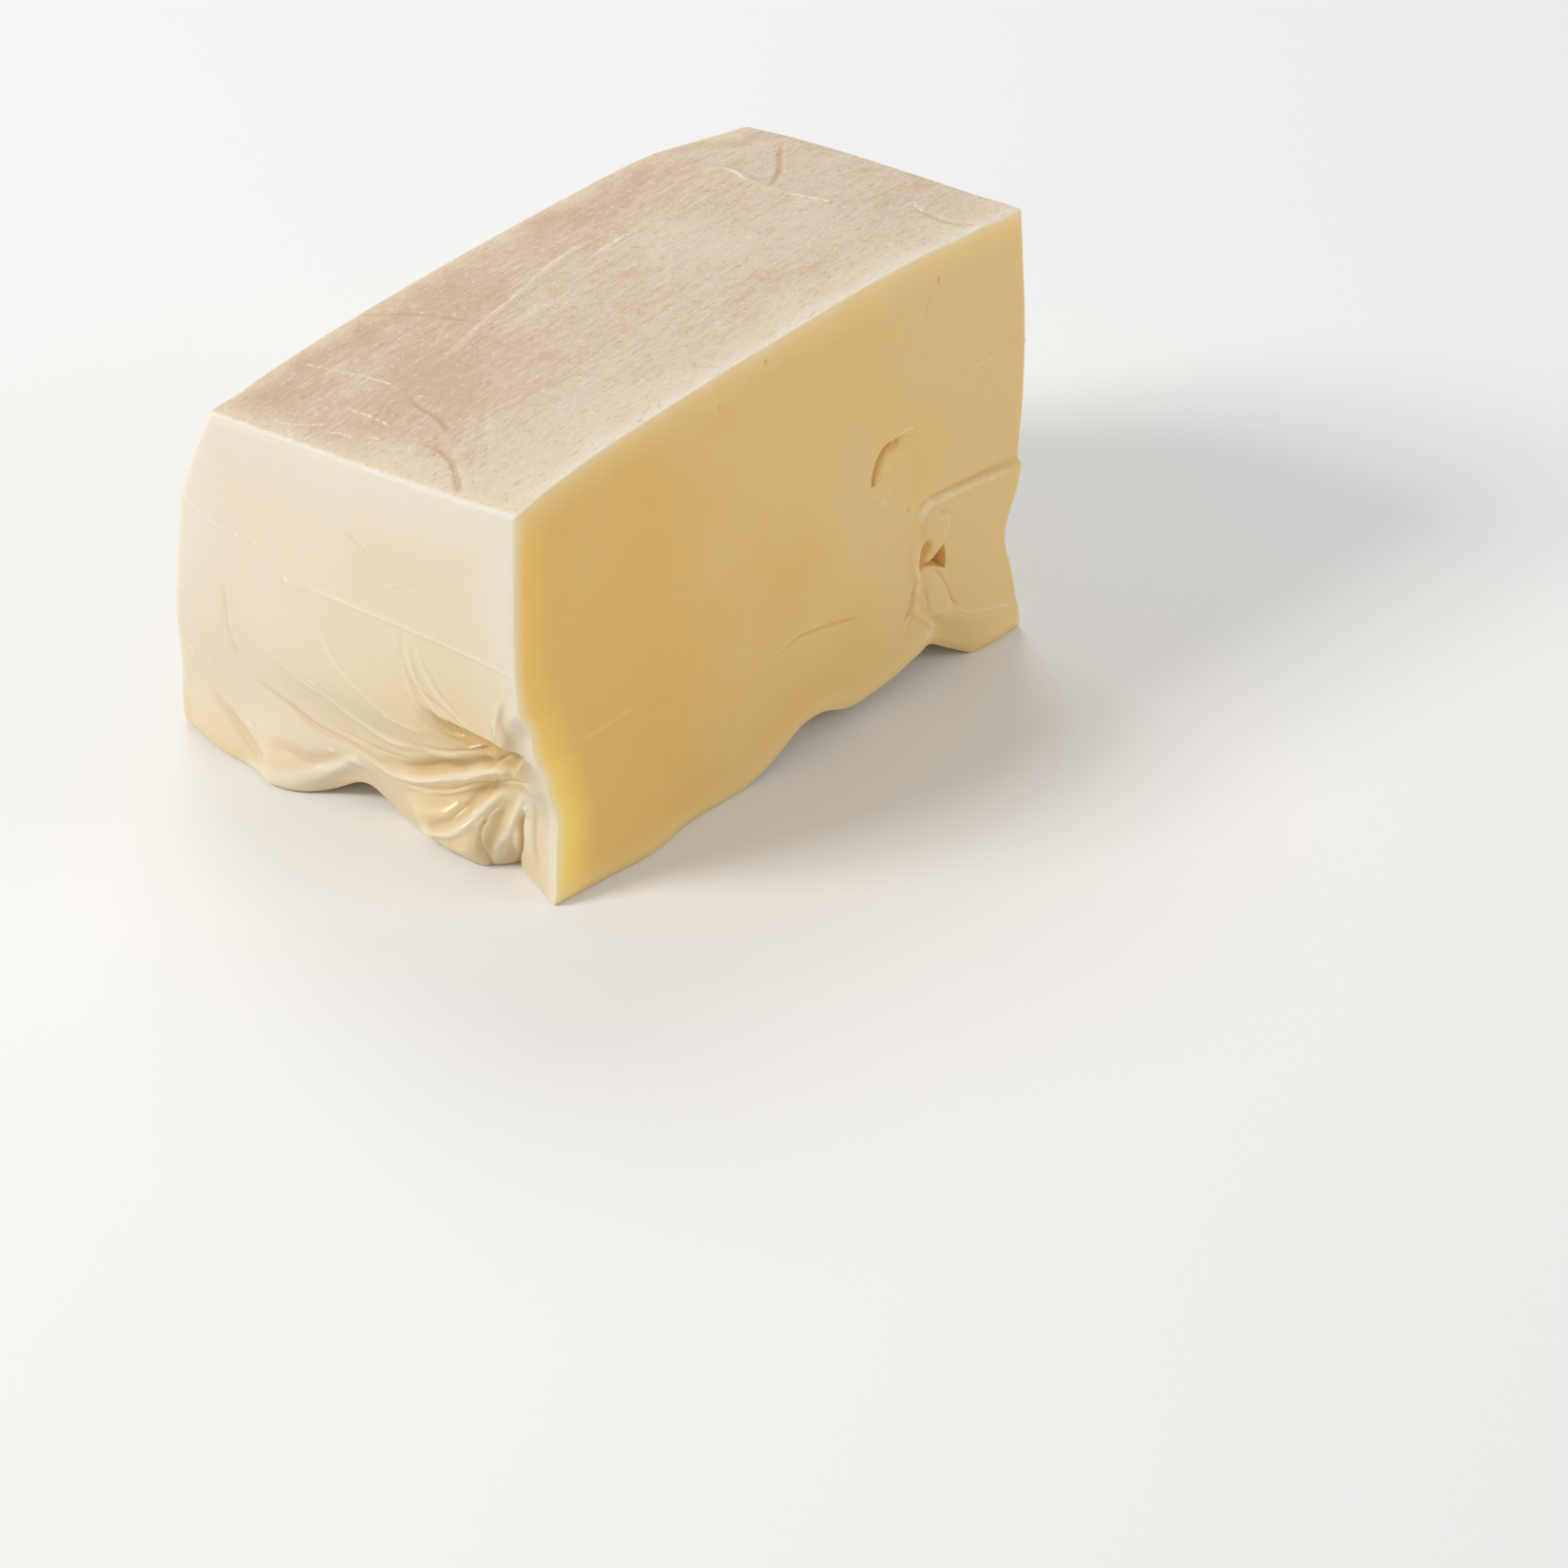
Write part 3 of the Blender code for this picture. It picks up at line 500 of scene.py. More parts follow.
def top_height(x, y):
    """Relief of the rind, which swells and bends down at its far end, and its creases and scuffs alone."""
    swell = profile(RIND_SWELL, x) * (1 - np.clip(y / TOP_DEPTH, 0, 1) ** 2)
    past = np.clip(x - profile(FAR_STRIP_LINE, y), 0, None)
    strip = FAR_STRIP_SLOPE * past * smooth(past / FAR_STRIP_BLEND)
    fine = creases(RIND_CREASES, x, y)
    scuffs_and_glints = creases(RIND_SCUFFS, x, y)
    return swell + fine + scuffs_and_glints - strip, fine, scuffs_and_glints


def base_height(x, y):
    """How far the underside is lifted off the surface that the block stands on."""
    under_cut = profile(UNDERCUT, x) * smooth(1 - y / UNDERCUT_REACH)
    from_middle = (y - HEM_LIFT["middle"] * MM) / (HEM_LIFT["half"] * MM)
    hem = HEM_LIFT["rise"] * MM * np.exp(-(from_middle**2)) * smooth(1 - x / HEM_REACH)
    return under_cut + hem


def far_height(y, z):
    """Outward relief of the far end, with the nicks in its torn edge."""
    across = np.clip(y / BASE_DEPTH, 0, 1)
    height = profile(FAR_EDGE, z) * (1 - across) + FAR_SWELL * np.sin(np.pi * across)
    return height + creases(FAR_NICKS, y - CUT_LEAN * z, z)


def back_height(x, z):
    """Outward relief of the back, whose far corner is cut off."""
    along = np.clip(x / CUT_LENGTH_TOP, 0, 1)
    up = np.clip(z / NEAR_HEIGHT, 0, 1)
    height = profile(BACK_EDGE, z) + BACK_BOW * up * np.sin(np.pi * along**BACK_BOW_SHIFT)
    return height - CORNER_CUT_DEPTH * smooth((x - CORNER_CUT_START) / CORNER_CUT_RUN)


def surface_grid(along, deep, high):
    """Points of a unit box's surface and the quads between them, facing out."""
    shape = (len(along), len(deep), len(high))
    outer = np.zeros(shape, bool)
    outer[[0, -1]] = True
    outer[:, [0, -1]] = True
    outer[:, :, [0, -1]] = True
    index = np.full(shape, -1)
    index[outer] = np.arange(outer.sum())
    i, j, k = np.nonzero(outer)
    sides = [(index[0], True), (index[-1], False), (index[:, 0], False), (index[:, -1], True),
             (index[:, :, 0], True), (index[:, :, -1], False)]
    quads = []
    for side, turned in sides:
        quad = np.stack([side[:-1, :-1], side[1:, :-1], side[1:, 1:], side[:-1, 1:]], -1).reshape(-1, 4)
        quads.append(quad[:, ::-1] if turned else quad)
    return np.column_stack([along[i], deep[j], high[k]]), np.concatenate(quads)


def grid_lines(count, size, crowd):
    """Places of grid lines from 0 to 1: closer together round a crowded place, and at the rounded edges."""
    middle, half, gain = crowd
    t = np.linspace(0, 1, CROWD_SAMPLES)
    total = np.cumsum(1 + gain * np.exp(-(((t - middle) / half) ** 2)))
    even = np.interp(np.linspace(total[0], total[-1], count), total, t)
    edge = np.array(EDGE_LINES) / size
    inner = even[(even > edge[-1]) & (even < 1 - edge[-1])]
    return np.concatenate([edge, inner, 1 - edge[::-1]])


def round_edges(box, size):
    """Moves the points of a straight box onto rounded edges, each pair of faces with its own radius."""
    low = box
    high = size - box
    end, cut, base = low.T
    far, back, top = high.T
    radii = [(cut, end, CUT_EDGE), (cut, far, CUT_EDGE), (cut, top, CUT_EDGE), (cut, base, CUT_EDGE),
             (end, top, RIND_EDGE), (back, top, RIND_EDGE), (far, top, RIND_EDGE),
             (end, back, SIDE_EDGE), (far, back, FAR_BACK_EDGE),
             (end, base, BASE_EDGE), (back, base, BASE_EDGE), (far, base, BASE_EDGE)]
    weight_sum = np.zeros(len(box))
    radius_sum = np.zeros(len(box))
    for first, second, radius in radii:
        weight = np.exp(-(first**2 + second**2) / (2 * EDGE_REACH**2)) + LEAST_WEIGHT
        weight_sum += weight
        radius_sum += weight * radius
    radius = (radius_sum / weight_sum)[:, None]
    core = np.clip(box, radius, size - radius)
    outward = box - core
    return core + radius * outward / np.linalg.norm(outward, axis=1, keepdims=True)


def corner_blend(unit):
    """Places points of the unit box between the block's eight corners."""
    near_top = (0, CUT_LEAN * NEAR_HEIGHT, NEAR_HEIGHT)
    far_top = (CUT_LENGTH_TOP, CUT_LEAN * FAR_HEIGHT, FAR_HEIGHT)
    corners = {
        (0, 0, 0): (0, 0, 0),
        (1, 0, 0): (CUT_LENGTH_BASE, 0, 0),
        (0, 1, 0): (END_SKEW_BASE, BASE_DEPTH, 0),
        (1, 1, 0): (CUT_LENGTH_BASE + FAR_SKEW, BASE_DEPTH, 0),
        (0, 0, 1): near_top,
        (1, 0, 1): far_top,
        (0, 1, 1): (END_SKEW_TOP, TOP_DEPTH, NEAR_HEIGHT - BACK_HEIGHT_LOSS),
        (1, 1, 1): (CUT_LENGTH_TOP + FAR_SKEW, TOP_DEPTH, FAR_HEIGHT - BACK_HEIGHT_LOSS),
    }
    placed = np.zeros(unit.shape)
    for ends, corner in corners.items():
        share = np.prod([unit[:, i] if ends[i] else 1 - unit[:, i] for i in range(3)], axis=0)
        placed += share[:, None] * np.array(corner)
    return placed


def face_reads(straight, size, fine, scuffs_and_glints):
    """What the materials read at each point: distances from the faces, creases, and scuffs and glints.

    The creases and the scuffs and glints are those of the end, the cut face and the rind, in that order."""
    on_face = [straight[:, 0] <= 0, straight[:, 1] <= 0, straight[:, 2] >= size[2]]
    return {
        "from_end": straight[:, 0],
        "from_far": size[0] - straight[:, 0],
        "from_cut": straight[:, 1],
        "from_back": size[1] - straight[:, 1],
        "from_base": straight[:, 2],
        "from_top": size[2] - straight[:, 2],
        "crease": np.select(on_face[::-1], fine[::-1], 0) / MM,
        "scuff_and_glint": np.select(on_face[::-1], scuffs_and_glints[::-1], 0) / MM,
    }


def block_surface(along, deep, high):
    """The block's surface: points in metres, quads, and what its materials read at each point."""
    size = np.array([CUT_LENGTH_BASE, (BASE_DEPTH + TOP_DEPTH) / 2, NEAR_HEIGHT])
    unit, quads = surface_grid(along, deep, high)
    straight = unit * size
    box = round_edges(straight, size)
    from_end, from_cut, from_base = box.T
    from_far, from_back, from_top = (size - box).T
    points = corner_blend(box / size)
    x, y, z = points.T
    end_relief, end_fine, end_glints = end_height(y, z)
    cut_relief, cut_fine, cut_scuffs = cut_height(x, z)
    top_relief, top_fine, top_scuffs = top_height(x, y)
    near_cut = smooth(1 - from_cut / CUT_REACH)
    moved_x = far_height(y, z) * smooth(1 - from_far / FAR_REACH)
    moved_x -= end_relief * smooth(1 - from_end / END_REACH)
    moved_y = back_height(x, z) * smooth(1 - from_back / BACK_REACH) - cut_relief * near_cut
    moved_z = top_relief * smooth(1 - from_top / TOP_REACH)
    moved_z += base_height(x, y) * smooth(1 - from_base / BASE_REACH)
    # The cut face stays one plane: what moves up or down on it follows its lean.
    moved_y += CUT_LEAN * moved_z * near_cut
    reads = face_reads(straight, size, [end_fine, cut_fine, top_fine], [end_glints, cut_scuffs, top_scuffs])
    return points + np.column_stack([moved_x, moved_y, moved_z]), quads, reads


def new_object(name, points, faces):
    """A mesh object in the scene."""
    mesh = bpy.data.meshes.new(name)
    mesh.from_pydata(points, [], faces)
    item = bpy.data.objects.new(name, mesh)
    bpy.context.scene.collection.objects.link(item)
    return item


def apply_modifiers(item):
    """Replaces the object's mesh by what its modifiers make of it."""
    bpy.context.view_layer.update()
    graph = bpy.context.evaluated_depsgraph_get()
    mesh = bpy.data.meshes.new_from_object(item.evaluated_get(graph))
    item.modifiers.clear()
    item.data = mesh


def on_cut_face(x, z, inward):
    """A point behind or in front of the cut face, from millimetres."""
    return (x * MM, (z * CUT_LEAN + inward) * MM, z * MM)


def cutter(name, rings):
    """A closed solid through a stack of equal rings of points, used only to cut."""
    count = len(rings[0])
    points = [point for ring in rings for point in ring]
    faces = [list(range(count))[::-1], [len(points) - count + i for i in range(count)]]
    for start in range(0, len(points) - count, count):
        for i in range(count):
            after = (i + 1) % count
            faces.append([start + i, start + after, start + count + after, start + count + i])
    item = new_object(name, points, faces)
    mesh = bmesh.new()
    mesh.from_mesh(item.data)
    bmesh.ops.recalc_face_normals(mesh, faces=mesh.faces)
    mesh.to_mesh(item.data)
    mesh.free()
    return item


def slot_cutter():
    """A crescent pocket: steep under its outer line, and sloping up to the surface at its inner line."""
    outer = np.array(SLOT_OUTER)
    inner = np.array(SLOT_INNER)
    across_from = outer[::-1][: len(inner)]
    deepest = across_from + (inner - across_from) * SLOT_FLOOR
    rings = []
    for inward, floor in ((-CUTTER_STANDS_OUT, inner), (0, inner), (SLOT_DEPTH, deepest)):
        rings.append([on_cut_face(x, z, inward) for x, z in np.concatenate([outer, floor])])
    return cutter("slot_cutter", rings)


def hole_cutter():
    """A three-sided hole with bowed sides that narrows inward."""
    outline = np.array(HOLE_CORNERS)
    middle = outline.mean(axis=0)
    rings = []
    for inward, scale in ((-CUTTER_STANDS_OUT, 1), (0, 1), (HOLE_DEPTH, HOLE_TAPER)):
        ring = middle + (outline - middle) * scale
        rings.append([on_cut_face(x, z, inward) for x, z in ring])
    return cutter("hole_cutter", rings)


def cut_eye(block, tool):
    """Takes the tool's form out of the block. The walls get the material for eyes."""
    for material in block.data.materials:
        tool.data.materials.append(material)
    for face in tool.data.polygons:
        face.material_index = 1
    step = block.modifiers.new("cut_" + tool.name, "BOOLEAN")
    step.operation = "DIFFERENCE"
    step.solver = "EXACT"
    step.object = tool
    apply_modifiers(block)
    bpy.data.objects.remove(tool)


def point_values(mesh, name):
    """What the mesh keeps under this name at each of its points."""
    values = np.empty(len(mesh.vertices), np.float32)
    mesh.attributes[name].data.foreach_get("value", values)
    return values


def carry_reads(mesh, names, before):
    """Gives the points that the cuts made what the uncut surface has at the same place."""
    before.calc_loop_triangles()
    corners = [triangle.vertices[:] for triangle in before.loop_triangles]
    places = [point.co.copy() for point in before.vertices]
    surface = BVHTree.FromPolygons(places, corners)
    across = point_values(mesh, "from_end") + point_values(mesh, "from_far")
    found = {}
    for i in np.flatnonzero(np.abs(across - CUT_LENGTH_BASE) > ROUNDING):
        nearest, _, index, _ = surface.find_nearest(mesh.vertices[i].co)
        shares = poly_3d_calc([places[corner] for corner in corners[index]], nearest)
        found[i] = (list(corners[index]), shares)
    for name in names:
        whole = point_values(before, name)
        values = point_values(mesh, name)
        for i, (around, shares) in found.items():
            values[i] = np.dot(whole[around], shares)
        mesh.attributes[name].data.foreach_set("value", values)


def make_block():
    """The dressed block in its own frame, with its eyes cut."""
    size_deep = (BASE_DEPTH + TOP_DEPTH) / 2
    along = grid_lines(GRID_ALONG, CUT_LENGTH_BASE, CROWD_AT_TEAR)
    deep = grid_lines(GRID_DEEP, size_deep, CROWD_AT_PINCH)
    high = grid_lines(GRID_HIGH, NEAR_HEIGHT, CROWD_LOW)
    points, quads, reads = block_surface(along, deep, high)
    block = new_object("cheese", points.tolist(), quads.tolist())
    for name, values in reads.items():
        block.data.attributes.new(name, "FLOAT", "POINT").data.foreach_set("value", values)
    thin = block.modifiers.new("thin_out", "DECIMATE")
    thin.ratio = KEPT_TRIANGLES / (2 * len(quads))
    apply_modifiers(block)
    block.data.materials.append(skin_material())
    block.data.materials.append(eye_material())
    uncut = block.data
    for tool in (slot_cutter(), hole_cutter()):
        cut_eye(block, tool)
    carry_reads(block.data, reads, uncut)
    block.data.shade_smooth()
    block.data.set_sharp_from_angle(angle=math.radians(SHARP_ANGLE))
    return block


def fit_to_solid(block):
    """Moves the mesh from the block's own frame into the solid's box, and returns the shift."""
    low, high = (np.array(corner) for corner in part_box(NODE))
    count = len(block.data.vertices)
    points = np.empty(count * 3, np.float32)
    block.data.vertices.foreach_get("co", points)
    points = points.reshape(-1, 3)
    own_low = points.min(axis=0)
    scale = (high - low) / (points.max(axis=0) - own_low)
    points = (points - own_low) * scale + low
    block.data.vertices.foreach_set("co", points.astype(np.float32).ravel())
    block.data.update()
    return Vector(low - own_low)


def linear(red, green, blue):
    """A colour given as it looks on screen, 0 to 255, as the shader wants it."""
    screen = np.array([red, green, blue]) / 255
    light = np.where(screen <= 0.04045, screen / 12.92, ((screen + 0.055) / 1.055) ** 2.4)
    return (*light.tolist(), 1.0)


class Shader:
    """One material and short calls that add linked nodes to it."""

    def __init__(self, name):
        self.material = bpy.data.materials.new(name)
        self.material.use_nodes = True
        self.tree = self.material.node_tree
        self.surface = self.tree.nodes["Principled BSDF"]

    def feed(self, socket, value):
        if isinstance(value, bpy.types.NodeSocket):
            self.tree.links.new(value, socket)
        else:
            socket.default_value = value

    def place(self):
        """Where the point is on the object, in metres."""
        return self.tree.nodes.new("ShaderNodeTexCoord").outputs["Object"]

    def read(self, name):
        """A value kept at the mesh's points."""
        node = self.tree.nodes.new("ShaderNodeAttribute")
        node.attribute_name = name
        return node.outputs["Fac"]

    def arithmetic(self, operation, first, second=0.0):
        node = self.tree.nodes.new("ShaderNodeMath")
        node.operation = operation
        self.feed(node.inputs[0], first)
        self.feed(node.inputs[1], second)
        return node.outputs[0]

    def plus(self, first, second):
        return self.arithmetic("ADD", first, second)

    def minus(self, first, second):
        return self.arithmetic("SUBTRACT", first, second)

    def times(self, first, second):
        return self.arithmetic("MULTIPLY", first, second)

    def smaller(self, first, second):
        return self.arithmetic("MINIMUM", first, second)

    def larger(self, first, second):
        return self.arithmetic("MAXIMUM", first, second)

    def step(self, value, zero_at, one_at):
        """A smooth rise from 0 to 1 between two values. zero_at may be the larger."""
        node = self.tree.nodes.new("ShaderNodeMapRange")
        node.interpolation_type = "SMOOTHSTEP"
        low, high = min(zero_at, one_at), max(zero_at, one_at)
        self.feed(node.inputs["Value"], value)
        node.inputs["From Min"].default_value = low
        node.inputs["From Max"].default_value = high
        node.inputs["To Min"].default_value = 0.0 if zero_at < one_at else 1.0
        node.inputs["To Max"].default_value = 1.0 if zero_at < one_at else 0.0
        return node.outputs["Result"]

    def near(self, first, second, middle, reach):
        """1 where two distances are those of the middle, fading to 0 at the reach from there."""
        off = [self.minus(first, middle[0]), self.minus(second, middle[1])]
        squares = self.plus(*[self.arithmetic("POWER", part, 2.0) for part in off])
        return self.step(self.arithmetic("SQRT", squares), reach, 0.0)

    def mix(self, share, first, second):
        """Between two colours, which are this node's inputs 6 and 7."""
        node = self.tree.nodes.new("ShaderNodeMix")
        node.data_type = "RGBA"
        self.feed(node.inputs["Factor"], share)
        self.feed(node.inputs[6], first)
        self.feed(node.inputs[7], second)
        return node.outputs[2]

    def tint(self, colour, tone, share, strength):
        """Brings a colour nearer to a tone: by the strength where the share is 1."""
        return self.mix(self.times(share, strength), colour, tone)

    def blend(self, share, first, second):
        """Between two numbers."""
        node = self.tree.nodes.new("ShaderNodeMix")
        node.data_type = "FLOAT"
        self.feed(node.inputs[0], share)
        self.feed(node.inputs[2], first)
        self.feed(node.inputs[3], second)
        return node.outputs[0]

    def noise(self, scale, detail=2.0, roughness=0.5, stretch=(1, 1, 1), offset=(0, 0, 0)):
        """Noise from 0 to 1. Scale is in cells to the metre, and stretch shortens it along an axis."""
        mapping = self.tree.nodes.new("ShaderNodeMapping")
        self.feed(mapping.inputs["Vector"], self.place())
        mapping.inputs["Scale"].default_value = stretch
        mapping.inputs["Location"].default_value = offset
        node = self.tree.nodes.new("ShaderNodeTexNoise")
        self.feed(node.inputs["Vector"], mapping.outputs["Vector"])
        node.inputs["Scale"].default_value = scale
        node.inputs["Detail"].default_value = detail
        node.inputs["Roughness"].default_value = roughness
        return node.outputs["Fac"]

    def bump(self, height, distance, below=None):
        node = self.tree.nodes.new("ShaderNodeBump")
        node.inputs["Distance"].default_value = distance
        self.feed(node.inputs["Height"], height)
        if below is not None:
            self.feed(node.inputs["Normal"], below)
        return node.outputs["Normal"]

    def scatter(self, weight, radius, depth):
        """Light that goes below the surface: how much, how far for red, green and blue, and the scale."""
        self.surface.inputs["Subsurface Weight"].default_value = weight
        self.surface.inputs["Subsurface Radius"].default_value = radius
        self.surface.inputs["Subsurface Scale"].default_value = depth


# Colours of the cut face, the ivory skin, the rind and the eyes.
CUT_PASTE = linear(230, 198, 134)
CUT_PASTE_GOLD = linear(229, 187, 102)
# Painted glow: light that comes through the paste by the cut face's near edge.
CUT_PAINTED_GLOW = linear(243, 200, 98)
CUT_PAINTED_GLOW_LOW = linear(254, 221, 112)
CUT_TOP_BAND = linear(239, 208, 142)
CUT_CRACK_SHADE = linear(214, 158, 74)
CUT_BLOOM_AND_HIGHLIGHT = linear(236, 216, 176)
EDGE_WHITE = linear(241, 229, 200)
IVORY = linear(226, 214, 191)
IVORY_WARM = linear(225, 209, 181)
IVORY_WHITE = linear(228, 222, 206)
CREAM = linear(225, 203, 158)
CREASE_SHADE = linear(217, 190, 143)
DEEP_CREASE_SHADE = linear(204, 166, 100)
# White of the film and its crumbs, also used for painted highlights and glints.
FILM_WHITE_AND_HIGHLIGHT = linear(233, 229, 219)
RIND_PALE = linear(218, 201, 178)
RIND_TAN = linear(201, 174, 147)
RIND_BROWN = linear(194, 155, 120)
RIND_CREAM = linear(224, 208, 180)
RIND_WHITE = linear(227, 216, 199)
RIND_FLECK = linear(184, 140, 98)
SCUFF_WHITE = linear(240, 233, 218)
EYE_GOLD = linear(246, 212, 146)
EYE_DEEP = linear(240, 194, 108)


# Where tones start and are full, in metres from the edge that each goes by.
# The glows are painted light through the paste along the cut face's near edge.
GLOW = (0.016, 0.002)
LOW_GLOW = (0.018, 0.001)
LOW_GLOW_HEIGHT = (0.080, 0.020)
TOP_BAND = (0.014, 0.003)
SOFT_EDGE = (0.0050, -0.001)
# A painted highlight along the foot of the cut face.
FOOT_HIGHLIGHT_PAINTED = (0.010, 0.002)
# The white side and rim tones are partly a painted highlight on the rounded edges.
WHITE_SIDE = (0.028, 0.002)
WHITE_RIM = (0.030, 0.002)
WHITE_HEIGHT = (0.040, 0.080)
CORNER_HIGHLIGHT = (0.008, 0.001)
CREAM_HEM = (0.018, 0.002)
TAN_BACK = (0.075, 0.0)
RIND_BY_CUT = (0.018, -0.008)
RIND_BLOOM = (0.004, -0.003)
RIND_BY_END = (0.008, -0.010)
RIND_BY_BACK = (0.004, -0.010)
# How fast the gold gives way along the cut face, per metre, and how far the rind's tones wander.
GOLD_FALL = 7.0
RIND_WANDER = 0.020
# Round tones: middle, as distances from two edges, and reach.
CREAM_PLACE = (0.030, 0.030)
CREAM_REACH = 0.085
# Painted shade of the hollow round the pinch.
PINCH_SHADE_PLACE = (0.016, 0.043)
PINCH_SHADE_REACH = 0.045
TAN_PLACE = (0.032, 0.090)
TAN_REACH = 0.075
# Widths of the broken white lines along the edges.
CUT_CRUMBS = 0.0007
END_CRUMBS = 0.0014
RIND_CUT_CRUMBS = 0.0016
RIND_END_CRUMBS = 0.0020
# How far over the edge each face's material starts.
ON_RIND = (0.0016, 0.0004)
ON_CUT = (0.0010, 0.0003)
# Roughness, the film's gloss, heights of the finest relief, and how far light goes below the surface.
SKIN_ROUGH = 0.30
RIND_ROUGH = 0.58
CUT_ROUGH = 0.42
EYE_ROUGH = 0.35
ROUGH_SPREAD = 0.10
FILM_GLOSS = 0.25
FILM_ROUGH = 0.2
RIND_GRAIN_HEIGHT = 0.0006
FILM_HEIGHT = 0.00014
WAX_HEIGHT = 0.00012
SKIN_SCATTER = (0.35, (1.0, 0.7, 0.3), 0.006)
EYE_SCATTER = (0.35, (1.0, 0.6, 0.2), 0.005)


def crumbs(s, distance, width):
    """A broken line of crumbs along an edge, from the distance to the edge and the line's width."""
    ragged = s.plus(distance, s.times(s.noise(420, 3, 0.7), width))
    return s.step(ragged, 1.5 * width, 0.6 * width)


def cut_colour(s):
    """Golden paste: more yellow by the near edge, with a painted glow of light through the paste along that
    edge, paler along the rind, and with painted orange shade down in its cracks.
    """
    from_end = s.read("from_end")
    from_top = s.read("from_top")
    gold = s.plus(s.times(from_end, -GOLD_FALL), s.times(s.noise(26, 3), 1.3))
    colour = s.mix(s.step(gold, -0.6, 0.6), CUT_PASTE, CUT_PASTE_GOLD)
    # Painted glow of light through the paste along the near edge, stronger low down.
    colour = s.mix(s.step(from_end, *GLOW), colour, CUT_PAINTED_GLOW)
    low = s.step(s.read("from_base"), *LOW_GLOW_HEIGHT)
    colour = s.mix(s.times(s.step(from_end, *LOW_GLOW), low), colour, CUT_PAINTED_GLOW_LOW)
    band = s.plus(from_top, s.times(s.noise(60, 2), 0.004))
    colour = s.tint(colour, CUT_TOP_BAND, s.step(band, *TOP_BAND), 0.8)
    # A pale rim along the near edge, which is part of the painted glow there, and along the rind.
    soft = s.smaller(from_end, s.plus(from_top, s.times(s.noise(90, 2), 0.002)))
    colour = s.tint(colour, EDGE_WHITE, s.step(soft, *SOFT_EDGE), 0.85)
    # Painted highlight along the bevelled foot.
    colour = s.tint(colour, CUT_TOP_BAND, s.step(s.read("from_base"), *FOOT_HIGHLIGHT_PAINTED), 0.6)
    # Painted orange shade down in the cracks and grooves.
    colour = s.tint(colour, CUT_CRACK_SHADE, s.step(s.read("crease"), -0.1, -0.9), 0.8)
    # Whitish bloom and scuffs, with the painted highlight along the ledge's top.
    bloom = s.times(s.step(s.read("scuff_and_glint"), 0.02, 0.14), s.step(s.noise(500, 2), 0.25, 0.6))
    colour = s.tint(colour, CUT_BLOOM_AND_HIGHLIGHT, bloom, 0.75)
    edge = s.smaller(s.smaller(from_top, from_end), s.read("from_far"))
    return s.mix(crumbs(s, edge, CUT_CRUMBS), colour, EDGE_WHITE)


def skin_colour(s):
    """Ivory paste: whiter by its upper edges, partly as a painted highlight, creamier round the pinch, with
    painted golden shade down in the creases and round the pinch's hollow, and painted highlights on the
    ridges, the glint specks and the near corner.
    """
    from_base = s.read("from_base")
    from_cut = s.read("from_cut")
    tone = s.noise(40, 3, 0.6, (1, 1, 0.5))
    colour = s.mix(s.step(tone, 0.38, 0.72), IVORY, IVORY_WARM)
    # Whiter towards the upper edges, partly a painted highlight on the rounded edges.
    sides = s.smaller(from_cut, s.read("from_back"))
    edges = s.larger(s.step(sides, *WHITE_SIDE), s.step(s.read("from_top"), *WHITE_RIM))
    high = s.times(edges, s.step(from_base, *WHITE_HEIGHT))
    colour = s.tint(colour, IVORY_WHITE, high, 0.75)
    round_pinch = s.near(from_cut, from_base, CREAM_PLACE, CREAM_REACH)
    low = s.larger(round_pinch, s.times(s.step(from_base, *CREAM_HEM), 0.8))
    colour = s.tint(colour, CREAM, low, s.blend(s.noise(60, 2), 0.7, 1.2))
    crease = s.read("crease")
    pinch = s.near(from_cut, from_base, PINCH_SHADE_PLACE, PINCH_SHADE_REACH)
    depth = s.minus(crease, s.times(pinch, 0.5))
    # Painted golden shade down in the creases, deepest round the pinch's hollow.
    colour = s.tint(colour, CREASE_SHADE, s.step(crease, -0.04, -0.35), 0.35)
    colour = s.tint(colour, DEEP_CREASE_SHADE, s.step(depth, -0.3, -3.0), 0.85)
    # Painted highlights on the ridges.
    colour = s.tint(colour, FILM_WHITE_AND_HIGHLIGHT, s.step(crease, 0.10, 0.6), 0.35)
    # Painted glints on the raised specks of the end face.
    colour = s.tint(colour, FILM_WHITE_AND_HIGHLIGHT, s.step(s.read("scuff_and_glint"), 0.06, 0.25), 0.85)
    # Painted highlight along the rounded near corner.
    colour = s.tint(colour, IVORY_WHITE, s.step(from_cut, *CORNER_HIGHLIGHT), 0.6)
    return s.mix(crumbs(s, s.read("from_top"), END_CRUMBS), colour, FILM_WHITE_AND_HIGHLIGHT)


def rind_paste(s, from_end, from_cut, from_back):
    """The rind's own colour: pale, with tan patches, more of them at the back, and brown stains."""
    patches = s.noise(34, 5, 0.6, (0.6, 1, 1))
    grain = s.plus(s.noise(520, 4, 0.7, (0.5, 1, 1)), s.noise(700, 3, 0.6, (0.1, 1, 1), (2, 4, 0)))
    by_end = s.near(from_end, from_cut, TAN_PLACE, TAN_REACH)
    by_back = s.step(from_back, *TAN_BACK)
    tan = s.plus(s.times(patches, 1.5), grain)
    tan = s.plus(tan, s.times(by_end, 0.28))
    tan = s.plus(tan, s.times(by_back, 0.22))
    colour = s.mix(s.step(tan, 1.5, 2.25), RIND_PALE, RIND_TAN)
    brown = s.plus(s.noise(75, 4, 0.65, (0.7, 1, 1), (5, 2, 0)), s.times(by_back, 0.10))
    return s.tint(colour, RIND_BROWN, s.step(brown, 0.60, 0.78), 0.45)


